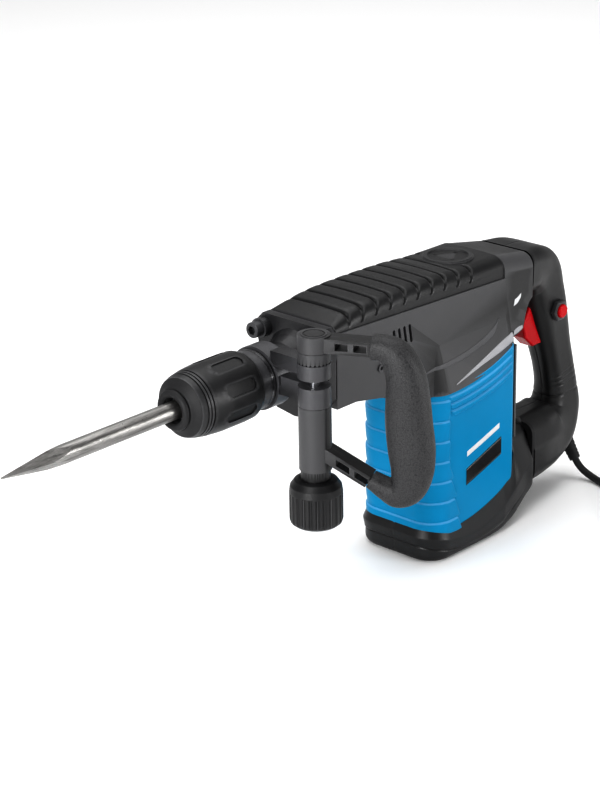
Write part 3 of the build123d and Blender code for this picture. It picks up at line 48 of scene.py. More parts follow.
# ---- camera, light and floor -------------------------------------------------------------
def make_camera():
    """A long lens from the tool's left front, above it."""
    azimuth, elevation, roll = (math.radians(v) for v in (46.98, 21.39, -1.0))
    target = Vector((-0.30586, -0.0856, 0.26597))
    distance = 2.23045
    back = Vector((-math.sin(azimuth) * math.cos(elevation),
                   -math.cos(azimuth) * math.cos(elevation), math.sin(elevation)))
    right = Vector((math.cos(azimuth), -math.sin(azimuth), 0))
    up = back.cross(right)
    rolled_right = right * math.cos(roll) + up * math.sin(roll)
    rolled_up = up * math.cos(roll) - right * math.sin(roll)
    data = bpy.data.cameras.new("camera")
    data.lens = 108.0
    data.sensor_width = 36.0
    data.clip_end = 50.0
    camera = bpy.data.objects.new("camera", data)
    camera.matrix_world = Matrix((
        (rolled_right.x, rolled_up.x, back.x, target.x + back.x * distance),
        (rolled_right.y, rolled_up.y, back.y, target.y + back.y * distance),
        (rolled_right.z, rolled_up.z, back.z, target.z + back.z * distance),
        (0, 0, 0, 1),
    ))
    bpy.context.scene.collection.objects.link(camera)
    bpy.context.scene.camera = camera


def area_light(name, place, aim, size, power):
    data = bpy.data.lights.new(name, "AREA")
    data.shape = "RECTANGLE"
    data.size, data.size_y = size
    data.energy = power
    lamp = bpy.data.objects.new(name, data)
    lamp.location = place
    lamp.rotation_euler = (Vector(aim) - Vector(place)).to_track_quat("-Z", "Y").to_euler()
    bpy.context.scene.collection.objects.link(lamp)


FLOOR_SIZE = 40.0  # metres


def make_studio():
    """White floor and horizon, a large soft light above and two smaller ones at the side."""
    scene = bpy.context.scene
    scene.view_settings.view_transform = "Standard"
    scene.view_settings.look = "None"
    scene.view_settings.exposure = 0.5
    scene.view_settings.gamma = 0.72
    world = bpy.data.worlds.new("studio")
    world.use_nodes = True
    tree = world.node_tree
    background = tree.nodes["Background"]
    background.inputs["Strength"].default_value = 0.62
    # a white horizon under a duller ceiling keeps the black plastics deep
    direction = tree.nodes.new("ShaderNodeTexCoord")
    split = tree.nodes.new("ShaderNodeSeparateXYZ")
    sky = tree.nodes.new("ShaderNodeValToRGB")
    sky.color_ramp.elements[0].position = 0.1
    sky.color_ramp.elements[1].position = 0.4
    sky.color_ramp.elements[0].color = (1, 1, 1, 1)
    sky.color_ramp.elements[1].color = (0.5, 0.5, 0.5, 1)
    tree.links.new(direction.outputs["Generated"], split.inputs["Vector"])
    tree.links.new(split.outputs["Z"], sky.inputs["Fac"])
    tree.links.new(sky.outputs["Color"], background.inputs["Color"])
    scene.world = world
    tool = (-0.1, 0, 0.2)
    area_light("top", (0.6, 0.75, 3.2), (0.6, 0.75, 0), (3.4, 3.4), 74)
    area_light("front_left", (-2.0, -0.4, 0.8), tool, (0.5, 1.2), 30)
    area_light("side", (0.9, -2.1, 0.6), tool, (0.8, 0.5), 20)
    bpy.ops.mesh.primitive_plane_add(size=FLOOR_SIZE, location=(0, 0, 0))
    floor = bpy.context.object
    floor.name = "floor"
    material, shader = new_material("floor_white")
    shader.inputs["Base Color"].default_value = (0.93, 0.93, 0.93, 1)
    shader.inputs["Roughness"].default_value = 0.8
    floor.data.materials.append(material)


# ---- materials ---------------------------------------------------------------------------
def new_material(name):
    material = bpy.data.materials.new(name)
    material.use_nodes = True
    return material, material.node_tree.nodes["Principled BSDF"]


def noise(tree, scale, detail=3.0, rough=0.55, stretch=(1, 1, 1)):
    """A noise texture in the object's own metres."""
    coords = tree.nodes.new("ShaderNodeTexCoord")
    mapping = tree.nodes.new("ShaderNodeMapping")
    mapping.inputs["Scale"].default_value = stretch
    texture = tree.nodes.new("ShaderNodeTexNoise")
    texture.inputs["Scale"].default_value = scale
    texture.inputs["Detail"].default_value = detail
    texture.inputs["Roughness"].default_value = rough
    tree.links.new(coords.outputs["Object"], mapping.inputs["Vector"])
    tree.links.new(mapping.outputs["Vector"], texture.inputs["Vector"])
    return texture.outputs["Fac"]


def ramp(tree, source, low, high, at=(0.3, 0.7)):
    """Maps a 0..1 value to a range of colours."""
    node = tree.nodes.new("ShaderNodeValToRGB")
    node.color_ramp.elements[0].position = at[0]
    node.color_ramp.elements[1].position = at[1]
    node.color_ramp.elements[0].color = (*low, 1)
    node.color_ramp.elements[1].color = (*high, 1)
    tree.links.new(source, node.inputs["Fac"])
    return node.outputs["Color"]


def spread(tree, source, low, high):
    """Maps a 0..1 value to a range of numbers."""
    node = tree.nodes.new("ShaderNodeMapRange")
    node.inputs["From Min"].default_value = 0.3
    node.inputs["From Max"].default_value = 0.7
    node.inputs["To Min"].default_value = low
    node.inputs["To Max"].default_value = high
    tree.links.new(source, node.inputs["Value"])
    return node.outputs["Result"]


def bump(tree, shader, height, depth, after=None):
    """Relief of the given depth in metres, on top of another one if there is one."""
    node = tree.nodes.new("ShaderNodeBump")
    node.inputs["Distance"].default_value = depth
    node.inputs["Strength"].default_value = 1.0
    tree.links.new(height, node.inputs["Height"])
    if after is not None:
        tree.links.new(after, node.inputs["Normal"])
    tree.links.new(node.outputs["Normal"], shader.inputs["Normal"])
    return node.outputs["Normal"]


def wear_and_highlight_edges(tree, colour, edge_wear_and_highlight, start=0.52, end=0.6):
    """Lightens the sharp outer edges: partly wear, where hands and dust rub them, partly a painted
    highlight on the edges that catch the light.
    """
    geometry = tree.nodes.new("ShaderNodeNewGeometry")
    edge = tree.nodes.new("ShaderNodeMapRange")
    edge.inputs["From Min"].default_value = start
    edge.inputs["From Max"].default_value = end
    mix = tree.nodes.new("ShaderNodeMix")
    mix.data_type = "RGBA"
    mix.inputs["B"].default_value = (*edge_wear_and_highlight, 1)
    tree.links.new(geometry.outputs["Pointiness"], edge.inputs["Value"])
    tree.links.new(edge.outputs["Result"], mix.inputs["Factor"])
    tree.links.new(colour, mix.inputs["A"])
    return mix.outputs["Result"]


def lit_tops(tree, colour, pale, amount):
    """Painted light: lightens the faces that look upwards, as if lit from above."""
    geometry = tree.nodes.new("ShaderNodeNewGeometry")
    split = tree.nodes.new("ShaderNodeSeparateXYZ")
    facing = tree.nodes.new("ShaderNodeMapRange")
    facing.inputs["From Min"].default_value = 0.25
    facing.inputs["From Max"].default_value = 0.7
    facing.inputs["To Max"].default_value = amount
    mix = tree.nodes.new("ShaderNodeMix")
    mix.data_type = "RGBA"
    mix.inputs["B"].default_value = (*pale, 1)
    tree.links.new(geometry.outputs["Normal"], split.inputs["Vector"])
    tree.links.new(split.outputs["Z"], facing.inputs["Value"])
    tree.links.new(facing.outputs["Result"], mix.inputs["Factor"])
    tree.links.new(colour, mix.inputs["A"])
    return mix.outputs["Result"]


def moulded(name, dark, light, roughness, grain=1400.0, depth=0.00012, edge_wear_and_highlight=None, coat=0.0,
            shine=0.3, painted_top_light=None):
    """Injection-moulded plastic or rubber: fine spark-eroded grain, slight mottling."""
    material, shader = new_material(name)
    tree = material.node_tree
    shader.inputs["Specular IOR Level"].default_value = shine
    colour = ramp(tree, noise(tree, 9, 4), dark, light)
    # painted light: the faces that look upwards are lightened as if lit from above
    if painted_top_light:
        colour = lit_tops(tree, colour, *painted_top_light)
    # lighter outer edges: partly wear, partly a painted highlight along the edges
    if edge_wear_and_highlight:
        colour = wear_and_highlight_edges(tree, colour, edge_wear_and_highlight)
    tree.links.new(colour, shader.inputs["Base Color"])
    tree.links.new(spread(tree, noise(tree, 35, 5), *roughness), shader.inputs["Roughness"])
    bump(tree, shader, noise(tree, grain, 2.0), depth)
    shader.inputs["Coat Weight"].default_value = coat
    shader.inputs["Coat Roughness"].default_value = 0.25
    return material


def pebbled(name, dark, light, roughness, cell=900.0, depth=0.0003):
    """Soft-touch rubber with a leather-like pebble grain."""
    material, shader = new_material(name)
    tree = material.node_tree
    coords = tree.nodes.new("ShaderNodeTexCoord")
    cells = tree.nodes.new("ShaderNodeTexVoronoi")
    cells.feature = "SMOOTH_F1"
    cells.inputs["Scale"].default_value = cell
    tree.links.new(coords.outputs["Object"], cells.inputs["Vector"])
    # painted shade: each pebble is lighter on its crown and darker towards the crevices between
    # pebbles
    colour = ramp(tree, cells.outputs["Distance"], light, dark, (0.15, 0.75))
    tree.links.new(colour, shader.inputs["Base Color"])
    shader.inputs["Specular IOR Level"].default_value = 0.35
    tree.links.new(spread(tree, noise(tree, 60, 4), *roughness), shader.inputs["Roughness"])
    first = bump(tree, shader, cells.outputs["Distance"], -depth)
    bump(tree, shader, noise(tree, cell * 2.2, 2), depth * 0.4, after=first)
    return material


def metal(name, dark, light, roughness, grain=700.0, depth=0.00008, stretch=(1, 1, 1),
          metallic=1.0, edge_wear_and_highlight=None):
    """Bare or coated metal: fine grain, with brushed lines where it is stretched."""
    material, shader = new_material(name)
    tree = material.node_tree
    colour = ramp(tree, noise(tree, 55, 5, 0.65, stretch), dark, light)
    # lighter outer edges: partly wear, partly a painted highlight along the edges
    if edge_wear_and_highlight:
        colour = wear_and_highlight_edges(tree, colour, edge_wear_and_highlight)
    tree.links.new(colour, shader.inputs["Base Color"])
    tree.links.new(spread(tree, noise(tree, 140, 4, 0.6, stretch), *roughness),
                   shader.inputs["Roughness"])
    shader.inputs["Metallic"].default_value = metallic
    bump(tree, shader, noise(tree, grain, 3, 0.6, stretch), depth)
    return material


def forged_steel():
    """Chisel steel: fine turning marks along the shank, hammered scale on the point."""
    material, shader = new_material("chisel_steel")
    tree = material.node_tree
    lines = noise(tree, 240, 4, 0.7, (0.08, 1, 1))
    colour = ramp(tree, lines, (0.13, 0.127, 0.123), (0.36, 0.353, 0.343))
    # lighter edges: partly wear, partly a painted highlight
    colour = wear_and_highlight_edges(tree, colour, (0.50, 0.49, 0.48), 0.53, 0.62)
    tree.links.new(colour, shader.inputs["Base Color"])
    tree.links.new(spread(tree, noise(tree, 320, 4, 0.7), 0.26, 0.44), shader.inputs["Roughness"])
    shader.inputs["Metallic"].default_value = 0.9
    first = bump(tree, shader, noise(tree, 260, 5, 0.65), 0.0005)
    bump(tree, shader, noise(tree, 1500, 3, 0.6), 0.00012, after=first)
    return material


def ripple_wire(name, base, light):
    """Wound copper, its lines round the upright axis."""
    material, shader = new_material(name)
    tree = material.node_tree
    tree.links.new(ramp(tree, noise(tree, 900, 3, 0.6, (1, 1, 6)), base, light),
                   shader.inputs["Base Color"])
    tree.links.new(spread(tree, noise(tree, 300, 3), 0.3, 0.45), shader.inputs["Roughness"])
    shader.inputs["Metallic"].default_value = 1.0
    bump(tree, shader, noise(tree, 1200, 2, 0.5, (1, 1, 5)), 0.0003)
    return material


def make_materials():
    return {
        "chisel_steel": forged_steel(),
        "tool_steel": metal("tool_steel", (0.42, 0.43, 0.45), (0.58, 0.59, 0.61), (0.22, 0.36)),
        "spring_steel": metal("spring_steel", (0.4, 0.41, 0.43), (0.55, 0.56, 0.58), (0.25, 0.4)),
        "bright_ring": metal("bright_ring", (0.10, 0.10, 0.105), (0.16, 0.16, 0.165), (0.25, 0.35)),
        "bare_aluminium": metal("bare_aluminium", (0.5, 0.51, 0.53), (0.64, 0.65, 0.67), (0.4, 0.6),
                                400, 0.0004),
        "laminations": metal("laminations", (0.2, 0.21, 0.22), (0.34, 0.35, 0.37), (0.35, 0.5), 900,
                             0.0003, (0.2, 0.2, 4)),
        "copper": ripple_wire("copper", (0.55, 0.22, 0.09), (0.75, 0.36, 0.17)),
        "brass": metal("brass", (0.6, 0.42, 0.16), (0.74, 0.55, 0.25), (0.25, 0.4)),
        "carbon": moulded("carbon", (0.02, 0.02, 0.02), (0.045, 0.045, 0.045), (0.5, 0.7), 900,
                          0.0003),
        # black metal and black plastic: lighter edges, partly wear and partly painted highlight
        "black_metal": metal("black_metal", (0.018, 0.018, 0.02), (0.036, 0.036, 0.038),
                             (0.30, 0.42), 1500, 0.00010, metallic=0.15,
                             edge_wear_and_highlight=(0.075, 0.075, 0.08)),
        "black_plastic": moulded("black_plastic", (0.004, 0.004, 0.0045),
                                 (0.010, 0.010, 0.011), (0.36, 0.46),
                                 edge_wear_and_highlight=(0.06, 0.06, 0.063), shine=0.5),
        "black_rubber": moulded("black_rubber", (0.012, 0.012, 0.013), (0.022, 0.022, 0.023),
                                (0.5, 0.66), 900, 0.00012),
        "soft_grip": pebbled("soft_grip", (0.020, 0.020, 0.021), (0.055, 0.055, 0.057),
                             (0.42, 0.54)),
        # the blue's paler upward faces are painted highlight on its lit scallop ledges; its paler
        # edges are partly wear and partly painted highlight
        "blue_plastic": moulded("blue_plastic", (0.0, 0.21, 0.385), (0.0, 0.235, 0.43),
                                (0.30, 0.40), 1500, 0.00007, edge_wear_and_highlight=(0.04, 0.27, 0.48),
                                shine=0.12, painted_top_light=((0.12, 0.38, 0.62), 0.8)),
        "red_plastic": moulded("red_plastic", (0.42, 0.001, 0.006), (0.50, 0.002, 0.009),
                               (0.20, 0.30), 1600, 0.00004, shine=0.18),
        "label": moulded("label", (0.006, 0.006, 0.007), (0.011, 0.011, 0.012), (0.22, 0.3), 1600,
                         0.00003, coat=0.4),
        "white_print": moulded("white_print", (0.55, 0.56, 0.57), (0.66, 0.66, 0.67), (0.3, 0.4)),
        "grey_trim": moulded("grey_trim", (0.075, 0.075, 0.078), (0.10, 0.10, 0.105), (0.34, 0.44)),
        "silver_trim": moulded("silver_trim", (0.30, 0.30, 0.31), (0.38, 0.38, 0.40), (0.28, 0.38)),
    }


# ---- mesh helpers ------------------------------------------------------------------------
def smooth_path(points, per_span):
    """A Catmull-Rom curve through the points, densely sampled."""
    points = np.array(points, float)
    padded = np.vstack([2 * points[0] - points[1], points, 2 * points[-1] - points[-2]])
    t = np.linspace(0, 1, per_span, endpoint=False)[:, None]
    pieces = []
    for a, b, c, d in zip(padded, padded[1:], padded[2:], padded[3:]):
        pieces.append(b + 0.5 * ((c - a) * t + (2 * a - 5 * b + 4 * c - d) * t**2
                                 + (3 * b - a - 3 * c + d) * t**3))
    return np.vstack([*pieces, points[-1:]])


def curve_height(points):
    """Height of a smooth line as a function of x."""
    path = smooth_path(points, 24)
    order = np.argsort(path[:, 0])
    return lambda x: np.interp(x, path[order, 0], path[order, 1])


def step(value, low, high):
    """0 below low, 1 above high and smooth between."""
    t = np.clip((value - low) / (high - low), 0, 1)
    return t * t * (3 - 2 * t)


def rounding(radius, distance):
    """How far a rounded edge stands back at a distance from its corner."""
    inside = np.minimum(radius, radius - distance)
    return np.where(inside > 0, radius - np.sqrt(np.maximum(0, radius**2 - inside**2)), 0)


def surface(name, grid, material, body, replaces=(), loop=False, caps=False):
    """A smooth piece through a grid of points in millimetres: rows x columns x 3."""
    rows, columns = grid.shape[:2]
    points = grid.reshape(-1, 3) * MM
    faces = []
    for i in range(rows - 1):
        for j in range(columns if loop else columns - 1):
            k = (j + 1) % columns
            faces.append((i * columns + j, i * columns + k,
                          (i + 1) * columns + k, (i + 1) * columns + j))
    if caps:
        faces.append(tuple(range(columns)))
        faces.append(tuple(range((rows - 1) * columns, rows * columns)))
    mesh = bpy.data.meshes.new(name)
    mesh.from_pydata([tuple(p) for p in points], [], faces)
    mesh.materials.append(material)
    work = bmesh.new()
    work.from_mesh(mesh)
    bmesh.ops.remove_doubles(work, verts=work.verts, dist=0.00002)
    bmesh.ops.recalc_face_normals(work, faces=work.faces)
    middle = Vector(points.mean(axis=0))
    outwards = sum((f.calc_center_median() - middle).dot(f.normal) * f.calc_area()
                   for f in work.faces)
    if outwards < 0:
        bmesh.ops.reverse_faces(work, faces=work.faces)
    work.to_mesh(mesh)
    work.free()
    mesh.shade_smooth()
    piece = bpy.data.objects.new(name, mesh)
    bpy.context.scene.collection.objects.link(piece)
    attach(piece, body)
    if replaces:
        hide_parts(*replaces)
    return piece


# ---- motor housing -----------------------------------------------------------------------
MOTOR_FRONT, MOTOR_REAR, MOTOR_HALF = -70.0, 66.0, 53.0
BODY_HALF = 46.0
BORDER = curve_height([(66, 207), (24, 193.5), (-25, 186.5), (-72, 187.5)])
FOOT_EDGE = curve_height([(-72, 37), (-43, 34), (-26, 34), (7, 39), (41, 50), (58, 62),
                          (65, 82), (67, 99)])
LEDGE_FIRST, LEDGE_PITCH = 45.0, 22.6  # upper edges of the front scallops
LEDGE_PHASE = 0.93  # share of the pitch over which a scallop swells
SCALLOP_DEPTH = 2.6
SIDE_RIBS = 3


def plan_loop(front, rear, half, front_r, rear_r, spacing=1.1):
    """Points and outward normals of a rounded rectangle seen from above."""
    def straight(start, end, normal):
        count = max(2, int(math.dist(start, end) / spacing))
        t = np.linspace(0, 1, count, endpoint=False)[:, None]
        line = np.array(start) + t * (np.array(end) - np.array(start))
        return np.hstack([line, np.tile(normal, (count, 1))])

    def arc(centre, radius, first, last):
        count = max(8, int(radius * math.pi / 2 / spacing))
        angle = np.radians(np.linspace(first, last, count, endpoint=False))[:, None]
        normal = np.hstack([np.cos(angle), np.sin(angle)])
        return np.hstack([np.array(centre) + radius * normal, normal])

    return np.vstack([
        straight((rear, -half + rear_r), (rear, half - rear_r), (1, 0)),
        arc((rear - rear_r, half - rear_r), rear_r, 0, 90),
        straight((rear - rear_r, half), (front + front_r, half), (0, 1)),
        arc((front + front_r, half - front_r), front_r, 90, 180),
        straight((front, half - front_r), (front, -half + front_r), (-1, 0)),
        arc((front + front_r, -half + front_r), front_r, 180, 270),
        straight((front + front_r, -half), (rear - rear_r, -half), (0, -1)),
        arc((rear - rear_r, -half + rear_r), rear_r, 270, 360),
    ])


def make_motor_housing():
    """Blue casing: scallops round the front, three slanting ribs on each side."""
    loop = plan_loop(MOTOR_FRONT, MOTOR_REAR, MOTOR_HALF - 0.4, 26, 8)
    x, y, nx, ny = loop.T
    low, high = FOOT_EDGE(x) - 4, BORDER(x) + 3
    t = np.linspace(0, 1, 190)[:, None]
    z = low + (high - low) * t
    x, y, nx, ny = (np.broadcast_to(v, z.shape) for v in (x, y, nx, ny))
    side = np.abs(ny) > 0.999
    # scallops: each swells upwards to a ledge, and they reach less far back higher up
    phase = ((z - LEDGE_FIRST) / LEDGE_PITCH) % 1.0
    swell = np.where(phase < LEDGE_PHASE,
                     np.sqrt(np.sin(np.pi / 2 * np.minimum(phase / LEDGE_PHASE, 1))),
                     (1 - phase) / (1 - LEDGE_PHASE))
    reach = -31.0 - 0.245 * (z - LEDGE_FIRST) + 0.225 * LEDGE_PITCH * ((1 - phase) % 1.0)
    across = np.where(side, step(reach - x, 0, 2.2), 1.0) * (x < 0)
    down = BORDER(x) - z
    out = SCALLOP_DEPTH * swell * across * step(down, 1, 9) - 0.3
    # the slanting ribs follow the edge of the black body
    for k in range(SIDE_RIBS):
        top = 3.2 + 8.2 * k
        start = -50 + 3.0 * k + 0.5 * (down - top)
        rib = step(down - top, 0, 1.0) * (1 - step(down - top, 5.2, 6.4))
        out = out + 2.0 * rib * side * step(x - start, 0, 2.0) * (1 - step(x, 56, 58))
    grid = np.stack([x + nx * out, y + ny * out, z], axis=-1)
    lip = grid[-1:] - np.stack([nx[-1:] * 4, ny[-1:] * 4, np.zeros_like(nx[-1:])], axis=-1)
    foot = grid[:1] - np.stack([nx[:1] * 4, ny[:1] * 4, np.zeros_like(nx[:1])], axis=-1)
    return surface("motor_casing", np.concatenate([foot, grid, lip]), MATERIALS["blue_plastic"],
                   "body", ["motor_housing"], loop=True)


# ---- top cover ---------------------------------------------------------------------------
BODY_X, COVER_SEAM_X = -210.0, 52.0
COVER_HALF = 44.5
COVER_FRONT_Z, COVER_REAR_Z = 294.6, 284.4
CROWN = curve_height([(BODY_X, 302), (-182, 310), (-140, 313), (-60, 312), (-7, 308.5),
                      (COVER_SEAM_X, 307.5)])
RIB_FIRST, RIB_PITCH, RIB_COUNT = -186.0, 21.0, 9
VALLEY_DEPTH, GROOVE_DEPTH = 2.4, 2.0
SHOULDER_R = 15.0
ROOF_DOME = 0.9
CRANK_X, CAP_R = 14.0, 27.0  # the round crank cap in the roof


def make_top_cover():
    """Black cover with soft transverse ribs that run out over its shoulders."""
    x = np.linspace(BODY_X + 0.2, COVER_SEAM_X - 0.2, 330)[:, None]
    lower = COVER_FRONT_Z + (x - BODY_X) / (COVER_SEAM_X - BODY_X) * (COVER_REAR_Z - COVER_FRONT_Z)
    crown = CROWN(x)
    radius = np.minimum(SHOULDER_R, crown - lower - 0.5)
    inner, wall = COVER_HALF - radius, crown - radius
    # cross-section: side wall, shoulder, roof, shoulder, side wall
    share = np.linspace(0, 1, 14, endpoint=False)
    turn = np.radians(np.linspace(0, 90, 22, endpoint=False))
    across = np.linspace(-1, 1, 60)
    side_y, side_z = COVER_HALF + 0 * x * share, lower + (wall - lower) * share
    bend_y, bend_z = inner + radius * np.cos(turn), wall + radius * np.sin(turn)
    y = np.hstack([-side_y, -bend_y, inner * across, bend_y[:, ::-1], side_y])
    z = np.hstack([side_z, bend_z, crown + 0 * across, bend_z[:, ::-1], side_z[:, ::-1]])
    z = z + ROOF_DOME * np.maximum(0, 1 - (y / inner) ** 2)
    along = np.broadcast_to(x, z.shape)
    last = RIB_FIRST + RIB_PITCH * RIB_COUNT
    ribbed = step(along, RIB_FIRST - 6, RIB_FIRST) * (1 - step(along, last, last + 4))
    slant = 0.55 * np.maximum(0, crown - 3 - z)  # the grooves lean forwards down the shoulder
    phase = ((along + slant - RIB_FIRST) / RIB_PITCH) % 1.0
    roof = step(z, crown - 9, crown - 2)
    valley = np.abs(2 * phase - 1) ** 5
    groove = np.exp(-((np.minimum(phase, 1 - phase) * RIB_PITCH) / 1.5) ** 2)
    tick = step(z, crown - 15.5, crown - 14)
    round_cap = step(np.hypot(along - CRANK_X, y), CAP_R + 2, CAP_R + 7)
    depth = ribbed * (VALLEY_DEPTH * valley * roof + GROOVE_DEPTH * groove * tick) * round_cap
    # each point sinks square to the surface: down on the roof, inwards on the wall
    beside, above = np.maximum(0, np.abs(y) - inner), np.maximum(0, z - wall)
    push = depth / np.maximum(1e-6, np.hypot(beside, above))
    on_roof, on_wall = np.abs(y) <= inner, z <= wall
    dy = np.where(on_wall, np.sign(y) * depth, np.where(on_roof, 0, np.sign(y) * beside * push))
    dz = np.where(on_wall, 0, np.where(on_roof, depth, above * push))
    grid = np.stack([along, y - dy, z - dz], axis=-1)
    # both ends turn inwards behind their edge
    inside = grid * np.array([1, 0.9, 1])
    inside[..., 2] = np.minimum(inside[..., 2] - 4, np.broadcast_to(crown - 6, z.shape))
    grid = np.concatenate([inside[:1], grid, inside[-1:]])
    return surface("roof_cover", grid, MATERIALS["black_plastic"], "body",
                   ["top_cover"])


# ---- trims of the gear housing -------------------------------------------------------------
def side_half(x, z):
    """Half width of the gear housing's side, which spreads towards the motor."""
    t = np.clip((240 - z) / 54, 0, 1)
    half = BODY_HALF + 7 * t
    radius = 20 + 6 * t
    corner = np.maximum(0, MOTOR_FRONT - 3 + radius - x)
    skirt = half - radius + np.sqrt(np.maximum(0, radius**2 - np.minimum(corner, radius) ** 2))
    return np.maximum(BODY_HALF, skirt)


def ribbon(name, upper, lower, slot, thick, side, half=side_half):
    """A thin raised strip on the housing's side between two lines in the side view."""
    top, bottom = smooth_path(upper, 16), smooth_path(lower, 16)
    count = 120
    t = np.linspace(0, 1, count)
    top = np.stack([np.interp(t, np.linspace(0, 1, len(top)), top[:, k]) for k in (0, 1)], -1)
    bottom = np.stack([np.interp(t, np.linspace(0, 1, len(bottom)), bottom[:, k])
                       for k in (0, 1)], -1)
    rows = []
    for share, lift in ((0, -1), (0, 0.6), (0.12, 1), (0.3, 1), (0.5, 1), (0.7, 1), (0.88, 1),
                        (1, 0.6), (1, -1)):
        line = top + share * (bottom - top)
        out = half(line[:, 0], line[:, 1]) + thick * lift
        rows.append(np.stack([line[:, 0], side * out, line[:, 1]], -1))
    return surface(name, np.array(rows), MATERIALS[slot], "body")


def cover_half(x, z):
    """Half width of the rear cover, which tapers backwards and rounds under."""
    half = 46 - (x - 48) / 57 * 4
    low = 209.5 - (x - 48) / 57 * 4.5
    under = np.maximum(0, low + 15 - z)
    return half - 15 + np.sqrt(225 - under**2)


def motor_half(x, z):
    """Half width of the motor housing's flat side."""
    return MOTOR_HALF - 0.7 + 0 * x


def make_trims():
    """Stripe, wedge, blank label plate and plain marks on both sides."""
    for side, hand in ((-1, "left"), (1, "right")):
        ribbon(f"side_stripe_{hand}",
               [(-79, 216), (-55, 219.5), (-23, 222), (10, 228), (35, 237), (42, 244)],
               [(-79, 214.8), (-55, 215), (-23, 216), (10, 221.5), (32, 229), (41, 241)],
               "grey_trim", 0.5, side)
        ribbon(f"side_wedge_{hand}",
               [(-34, 193.5), (8, 206.5), (41, 217), (62.5, 223)],
               [(-34, 192.5), (8, 201.5), (41, 207.5), (64, 213.5)],
               "silver_trim", 0.6, side)
        # the heel of the rear cover: silver trim where the wedge runs on, also a painted highlight
        # for its lit chamfer
        ribbon(f"cover_tip_{hand}", [(70, 221.5), (78, 223.5), (86, 223.5)],
               [(71, 214), (79, 216.5), (86.5, 219.5)], "silver_trim", 0.5, side,
               half=cover_half)
        ribbon(f"blank_tag_{hand}", [(71, 256), (77, 257.5), (83, 260)],
               [(69, 249), (76, 250.5), (82, 255)], "white_print", 0.15, side, half=cover_half)
        ribbon(f"label_plate_{hand}",
               [(-17, 93.5), (12, 103), (41, 112.5)], [(-17, 75), (12, 83.5), (41, 92.5)],
               "label", 0.45, side, half=motor_half)
        ribbon(f"blank_mark_{hand}",
               [(-16, 113), (10, 120.5), (38, 129)], [(-16, 107), (10, 114.5), (38, 123)],
               "white_print", 0.15, side, half=motor_half)


# ---- base ----------------------------------------------------------------------------------
BASE_FRONT, BASE_HALF, BASE_REAR = -74.0, 55.0, 115.0
LIMB_TOP, LIMB_HALF = 103.0, 41.0
TAPER_START = 46.0
SOLE_R, LIMB_TOP_R = 8.0, 16.0
SHOULDER_LEAN = 0.42  # how far the limb's shoulder goes in for each millimetre up
# heights along the base: upper crease of the side, seam above the sole, underside
BASE_CREASE = curve_height([(-74, 29), (-57, 26), (-24, 19.5), (10, 21.5), (44, 33), (68, 46),
                            (BASE_REAR, 60)])
BASE_SEAM = curve_height([(-74, 18), (-59, 14), (-26, 8), (8, 8), (42, 13), (68, 24),
                          (BASE_REAR, 40)])
BASE_SOLE = curve_height([(-74, 0), (-20, 0), (20, 0), (42, 2), (62, 6.5), (80, 13.5), (103, 22),
                          (BASE_REAR, 26.5)])


def base_loop():
    """Points and outward normals round the base, from the middle of its rear end and back."""
    loop = plan_loop(BASE_FRONT, 300, BASE_HALF, 28, 5)
    left = loop[(loop[:, 0] < TAPER_START) & (loop[:, 1] < 0)][::-1]
    # from the middle of the front round the corner and along the side
    left = left[np.argsort(np.where(left[:, 3] < -0.999, 1000 + left[:, 0], -left[:, 1]))]
    taper = smooth_path([(TAPER_START, -BASE_HALF), (70, -52), (95, -45.5),
                         (BASE_REAR - 4, -LIMB_HALF - 1), (BASE_REAR, -LIMB_HALF + 3)], 22)
    tangent = np.gradient(taper, axis=0)
    tangent /= np.linalg.norm(tangent, axis=1)[:, None]
    taper = np.hstack([taper, np.stack([tangent[:, 1], -tangent[:, 0]], -1)])
    y = np.linspace(-LIMB_HALF + 4, 0, 30)
    end = np.stack([np.full(30, BASE_REAR), y, np.ones(30), np.zeros(30)], -1)
    left = np.vstack([left, taper, end])
    right = left[::-1] * np.array([1, -1, 1, -1])
    return np.vstack([right, left])


